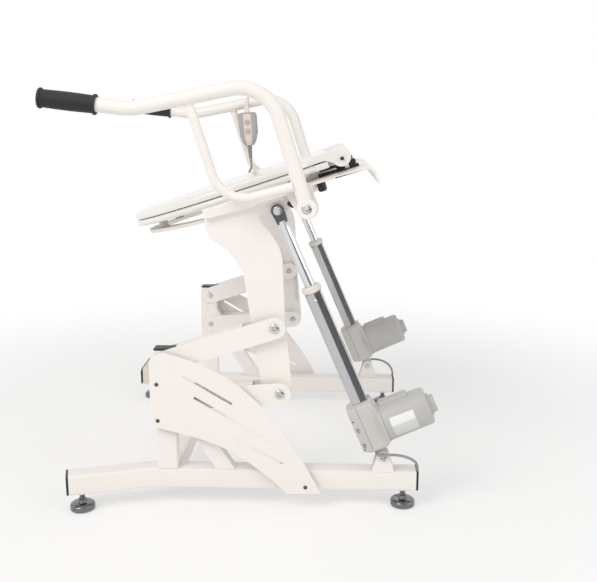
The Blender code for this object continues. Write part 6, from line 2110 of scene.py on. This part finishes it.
    def outer_tube(self) -> None:
        """Extruded tube with a rivet; each side is a flat strip, a fine groove and a turned facet."""
        path = [AT.actuator(up) for up in np.linspace(83.3, self.collar_at - 0.3, 8)]
        half, groove = self.tube, -1.5
        turned_in = (half + groove) * math.tan(math.radians(self.facet))
        one_side = [
            (half - turned_in, -half), (half, groove - 0.9), (half - 0.6, groove - 0.3), (half, groove + 0.3),
            (half, half - 4.0), (half - 3.0, half),
        ]
        other_side = [(-a, b) for a, b in one_side[::-1]]
        radii = [2.5, 0, 0, 0, 1.0, 1.0]
        section = fillet(one_side + other_side, radii + radii[::-1], steps=12)
        piece = Piece(f"outer_tube_{self.word}", self.body)
        piece.swept(in_side(path, self.y), section)
        rivet = [(0, -1.0), (2.6, -1.0), (2.6, 0.3), (1.6, 1.0), (0, 1.2)]
        spot = in_side(AT.actuator(self.collar_at - 14.0), self.y + self.side * self.tube)
        piece.turned(rivet, spot, (0, self.side, 0), 48, slot=1)
        piece.make(ALUMINIUM, STEEL, sharp=9.0)

    def collar(self) -> None:
        """Plastic collar on the tube's top, with the rod's bore."""
        profile = fillet(
            [(10.6, 13.0), (16.0, 13.0), (18.0, 10.5), (18.0, 3.0), (15.6, 0.0), (10.6, 0.0)],
            [0.6, 1.2, 2.0, 1.5, 0.8, 0.3], steps=4,
        )
        piece = Piece(f"collar_{self.word}", self.body)
        origin = in_side(AT.actuator(self.collar_at), self.y)
        piece.turned(profile, origin, AT.actuator_axis, 56, wrap=True)
        piece.make(COLLAR_BEIGE)

    def rod(self) -> None:
        """Polished rod with a fork of two ears about the carrier plate, and the top bolt."""
        y, top, turn = self.y, AT.actuator_length, AT.actuator_turn
        piece = Piece(f"rod_{self.word}", f"rod_{self.word}")
        start, end = in_side([AT.actuator(self.collar_at - 56.0), AT.actuator(top - 20.0)], y)
        piece.rod(start, end, self.rod_radius, 1.0, 48)
        ear = arc(AT.actuator_top, 11.5, turn - 90, turn + 90, 24)
        outline = [*ear, AT.actuator(top - 24.0, -9.5), AT.actuator(top - 24.0, 9.5)]
        for offset in (-self.fork_gap, self.fork_gap):
            piece.plate(outline, y + offset, self.fork_sheet, slot=1)
        right_end = 8.2 if self.side > 0 else 14.0
        piece.rod(*in_side([AT.actuator_top] * 2, [y - 14.0, y + right_end]), 5.0, 0.5, slot=2)
        piece.bolt_head(AT.actuator_top, self.side, AT.side_y + 8.0, 8.0, 3.9, slot=2)
        piece.make(POLISHED, FORK, STEEL, bevel=0.5)


@dataclass
class Handset:
    """Hand control that hangs on the right armrest, with its two buttons."""

    top: tuple = (-60.0, 737.0)
    y: float = 304.0
    length: float = 80.0
    half_depth: float = 12.0
    lean: float = -4.0
    boot: float = 32.0
    button_radius: float = 7.0
    button_height: float = 4.0
    buttons: tuple = (24.0, 46.0)
    wire: float = 1.6

    def at(self, down: float, forward: float = 0.0) -> np.ndarray:
        """A point on the handset: down from its top, forward of its middle line."""
        return along(self.top, -90 - self.lean, down, -forward)

    def build(self) -> None:
        """Builds the handset, its hook and its buttons."""
        self.shell()
        r, h = self.button_radius, self.button_height
        profile = fillet([(0, 0), (r, 0), (r, h - 0.4), (0, h)], [0, 0.3, 1.0, 0], closed=False)
        for down, word in zip(self.buttons, ("up", "down")):
            piece = Piece(f"handset_button_{word}", f"button_{word}", f"Button_{word}")
            spot = in_side(self.at(down), self.y - self.half_depth + 1.6)
            piece.turned(profile, spot, (0, -1, 0), 36)
            piece.make(BUTTON_GREY)

    def rings(self, rows: list, steps: int) -> np.ndarray:
        """Rings down the handset.

        Args:
            rows: for each ring (down, half length, half depth, corner).
            steps: parts of each corner.

        Returns:
            Rows × columns × 3.
        """
        made = []
        for down, half_a, half_b, corner in rows:
            section = rounded_section(half_a, half_b, corner, steps)
            made.append(ring_at(section, self.y, lambda a: self.at(down, a)))
        return np.array(made)

    def shell(self) -> None:
        """Tapered shell down to the cord's boot, painted grey as shade save its pale raised middle, with a
        dark strip and a hook.
        """
        rows = [
            (0.0, 16.0, 8.0, 6.0), (0.8, 18.6, 10.0, 6.5), (2.6, 20.8, 11.4, 7.0), (6.0, 22.0, 12.0, 7.0),
            (30.0, 22.0, 12.0, 7.0), (50.0, 21.4, 12.0, 7.0), (60.0, 20.0, 11.8, 7.5),
            (70.0, 17.0, 11.0, 8.0), (76.0, 13.6, 9.6, 8.0), (79.0, 10.5, 8.0, 7.5), (80.0, 7.5, 6.4, 6.0),
        ]
        piece = Piece("handset", "handset")
        piece.grid(self.rings(rows, 6))
        boot = [(0.0, 0.0), (6.0, 0.0)]
        for i in range(8):
            down, radius = 4.0 + i * 3.6, 6.0 - 0.22 * i
            waist = radius - 0.9
            boot += [(radius, down), (waist, down + 0.5), (waist, down + 1.4), (radius, down + 1.9)]
        boot += [(4.0, 34.6), (0.0, 35.0)]
        axis = in_side(self.at(1.0) - self.at(0.0), 0.0)
        piece.turned(boot, in_side(self.at(self.length - 3), self.y), axis, 28, slot=1)
        piece.block((46.0, 9.0, 3.0), in_side(self.at(30.0, -21.2), self.y), 1.2, -90 - self.lean, slot=1)
        self.hook(piece)
        raised = [
            (-27.0, 2.6, 1.2, 2.0), (-26.0, 4.0, 2.0, 2.0), (-16.0, 5.0, 2.4, 2.0), (0.0, 7.0, 8.2, 2.0),
            (6.0, 9.6, 12.9, 2.0), (50.0, 9.6, 12.9, 2.0), (66.0, 8.4, 12.0, 2.0), (76.0, 6.6, 10.2, 2.0),
            (79.5, 5.0, 8.0, 2.0),
        ]
        piece.grid(self.rings(raised, 5), slot=3)
        # Slot 0 is the pale shell painted grey as shade; slot 3, the raised middle, keeps the pale colour.
        piece.make(HANDSET_PAINTED_SHADE, BOOT_GREY, STEEL, BEIGE)

    def hook(self, piece: Piece) -> None:
        """Wire hook over the armrest's tube.

        Args:
            piece: that it is added to.
        """
        x, top_z = self.top
        reach = Armrest.tube + 0.6 + self.wire
        bend, corner = Armrest.front_bend, Armrest.top_corner
        tube_z = bend[1] + (x - bend[0]) * (corner[1] - bend[1]) / (corner[0] - bend[0])
        over = [
            (x, AT.armrest_y + reach * math.cos(a), tube_z + reach * math.sin(a))
            for a in np.radians(np.linspace(0, 180, 13))
        ]
        shoulder = (top_z + tube_z) / 2
        leg = [
            (x, AT.armrest_y - reach, shoulder + 1.0), (x, self.y + 4.0, shoulder - 4.0),
            (x, self.y, top_z + 4.0), (x, self.y, top_z - 3.0),
        ]
        piece.swept(spline(over + leg, 4), circle((0, 0), self.wire, 14), slot=2, across=(1.0, 0.0, 0.0))


@dataclass
class Cords:
    """The handset's cord and the two motor cables, on the same routes as in the frame."""

    radius: float = 2.5
    ear_face: float = 300.0
    head: float = 3.8
    gap: float = 1.0

    def build(self) -> None:
        handset = Handset()
        reach, y = handset.length + handset.boot, handset.y
        start, straight = handset.at(reach + 0.3), handset.at(reach + 6.0)
        end, above = AT.frame(32.0, 23.3), AT.frame(32.0, 29.0)
        route = [
            in_side(start, y),
            in_side(straight, y),
            (straight[0] + 1.5, y - 4.5, straight[1] - 14),
            (above[0] - 1.5, AT.side_y + 4, above[1] + 9),
            in_side(above, AT.side_y),
            in_side(end, AT.side_y),
        ]
        self.cord("Handset_cord", "handset", route, SHEATH)
        for word, side in SIDES.items():
            self.motor_cable(word, side)

    def motor_cable(self, word: str, side: float) -> None:
        """Cable from under a gearbox, outside the foot bolt, to the rail's rear end.

        Args:
            word: for the side.
            side: -1 or 1.
        """
        outside = self.ear_face + self.head + self.radius + self.gap
        route = [
            in_side(AT.actuator(20.2, -8.0), outside - 2.5),
            in_side(AT.actuator(14.7, -8.0), outside - 2.5),
            (238.5, outside, 109.5),
            (250.0, outside, 110.5),
            (264.0, outside, 111.0),
            (280.0, outside - 1.0, 108.5),
            (295.0, outside - 4.0, 102.0),
            (305.5, outside - 10.0, 92.0),
            (309.3, outside - 16.0, 81.0),
            (309.3, outside - 16.0, 74.3),
        ]
        route = [(x, side * y, z) for x, y, z in route]
        self.cord(f"Motor_cable_{word}", "base", route, CABLE)

    def cord(self, name: str, body: str, route: list, finish: Finish) -> None:
        """A round cord along a route, as a curve in place of its CAD node.

        Args:
            name: of the object, and in small letters of the node.
            body: that it rides on.
            route: given points in millimetres.
            finish: its sheath.
        """
        places = (even_route(route, 4.0) + np.array([FRAME_SHIFT, 0, 0])) * MM
        data = bpy.data.curves.new(name, "CURVE")
        data.dimensions = "3D"
        data.bevel_depth = self.radius * MM
        data.bevel_resolution = 6
        data.use_fill_caps = True
        line = data.splines.new("POLY")
        line.points.add(len(places) - 1)
        line.points.foreach_set("co", np.column_stack([places, np.ones(len(places))]).ravel())
        data.materials.append(finish.material())
        obj = bpy.data.objects.new(name, data)
        bpy.context.scene.collection.objects.link(obj)
        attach(obj, body)
        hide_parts(name.lower())


def plain(value: object) -> object:
    """Turns vectors and arrays, at any depth, to lists.

    Args:
        value: a vector, an array, a dict or a plain value.

    Returns:
        The plain value.
    """
    if isinstance(value, dict):
        return {str(key): plain(item) for key, item in value.items()}
    if isinstance(value, (str, int, float, bool)) or value is None:
        return value
    return [plain(item) for item in value]


def main() -> None:
    """Loads the frame and builds the stage and every sub-assembly in order."""
    logging.basicConfig(level=logging.INFO, format="%(name)s: %(message)s")
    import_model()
    sizes = {"loaded": plain(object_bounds())}
    bpy.context.scene.view_settings.view_transform = "Standard"
    kinds = (Base, Linkage, Armrest, Actuator)
    sides = [kind(word, side) for kind in kinds for word, side in SIDES.items()]
    stages = [Studio(), Cords(), *sides, SeatFrame(), SeatAndLid(), Handset()]
    for stage in stages:
        before = len(bpy.data.objects)
        stage.build()
        LOG.info("%s: %d objects", type(stage).__name__, len(bpy.data.objects) - before)
    bpy.context.view_layer.update()
    sizes["built"] = plain(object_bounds())


if __name__ == "__main__":
    main()
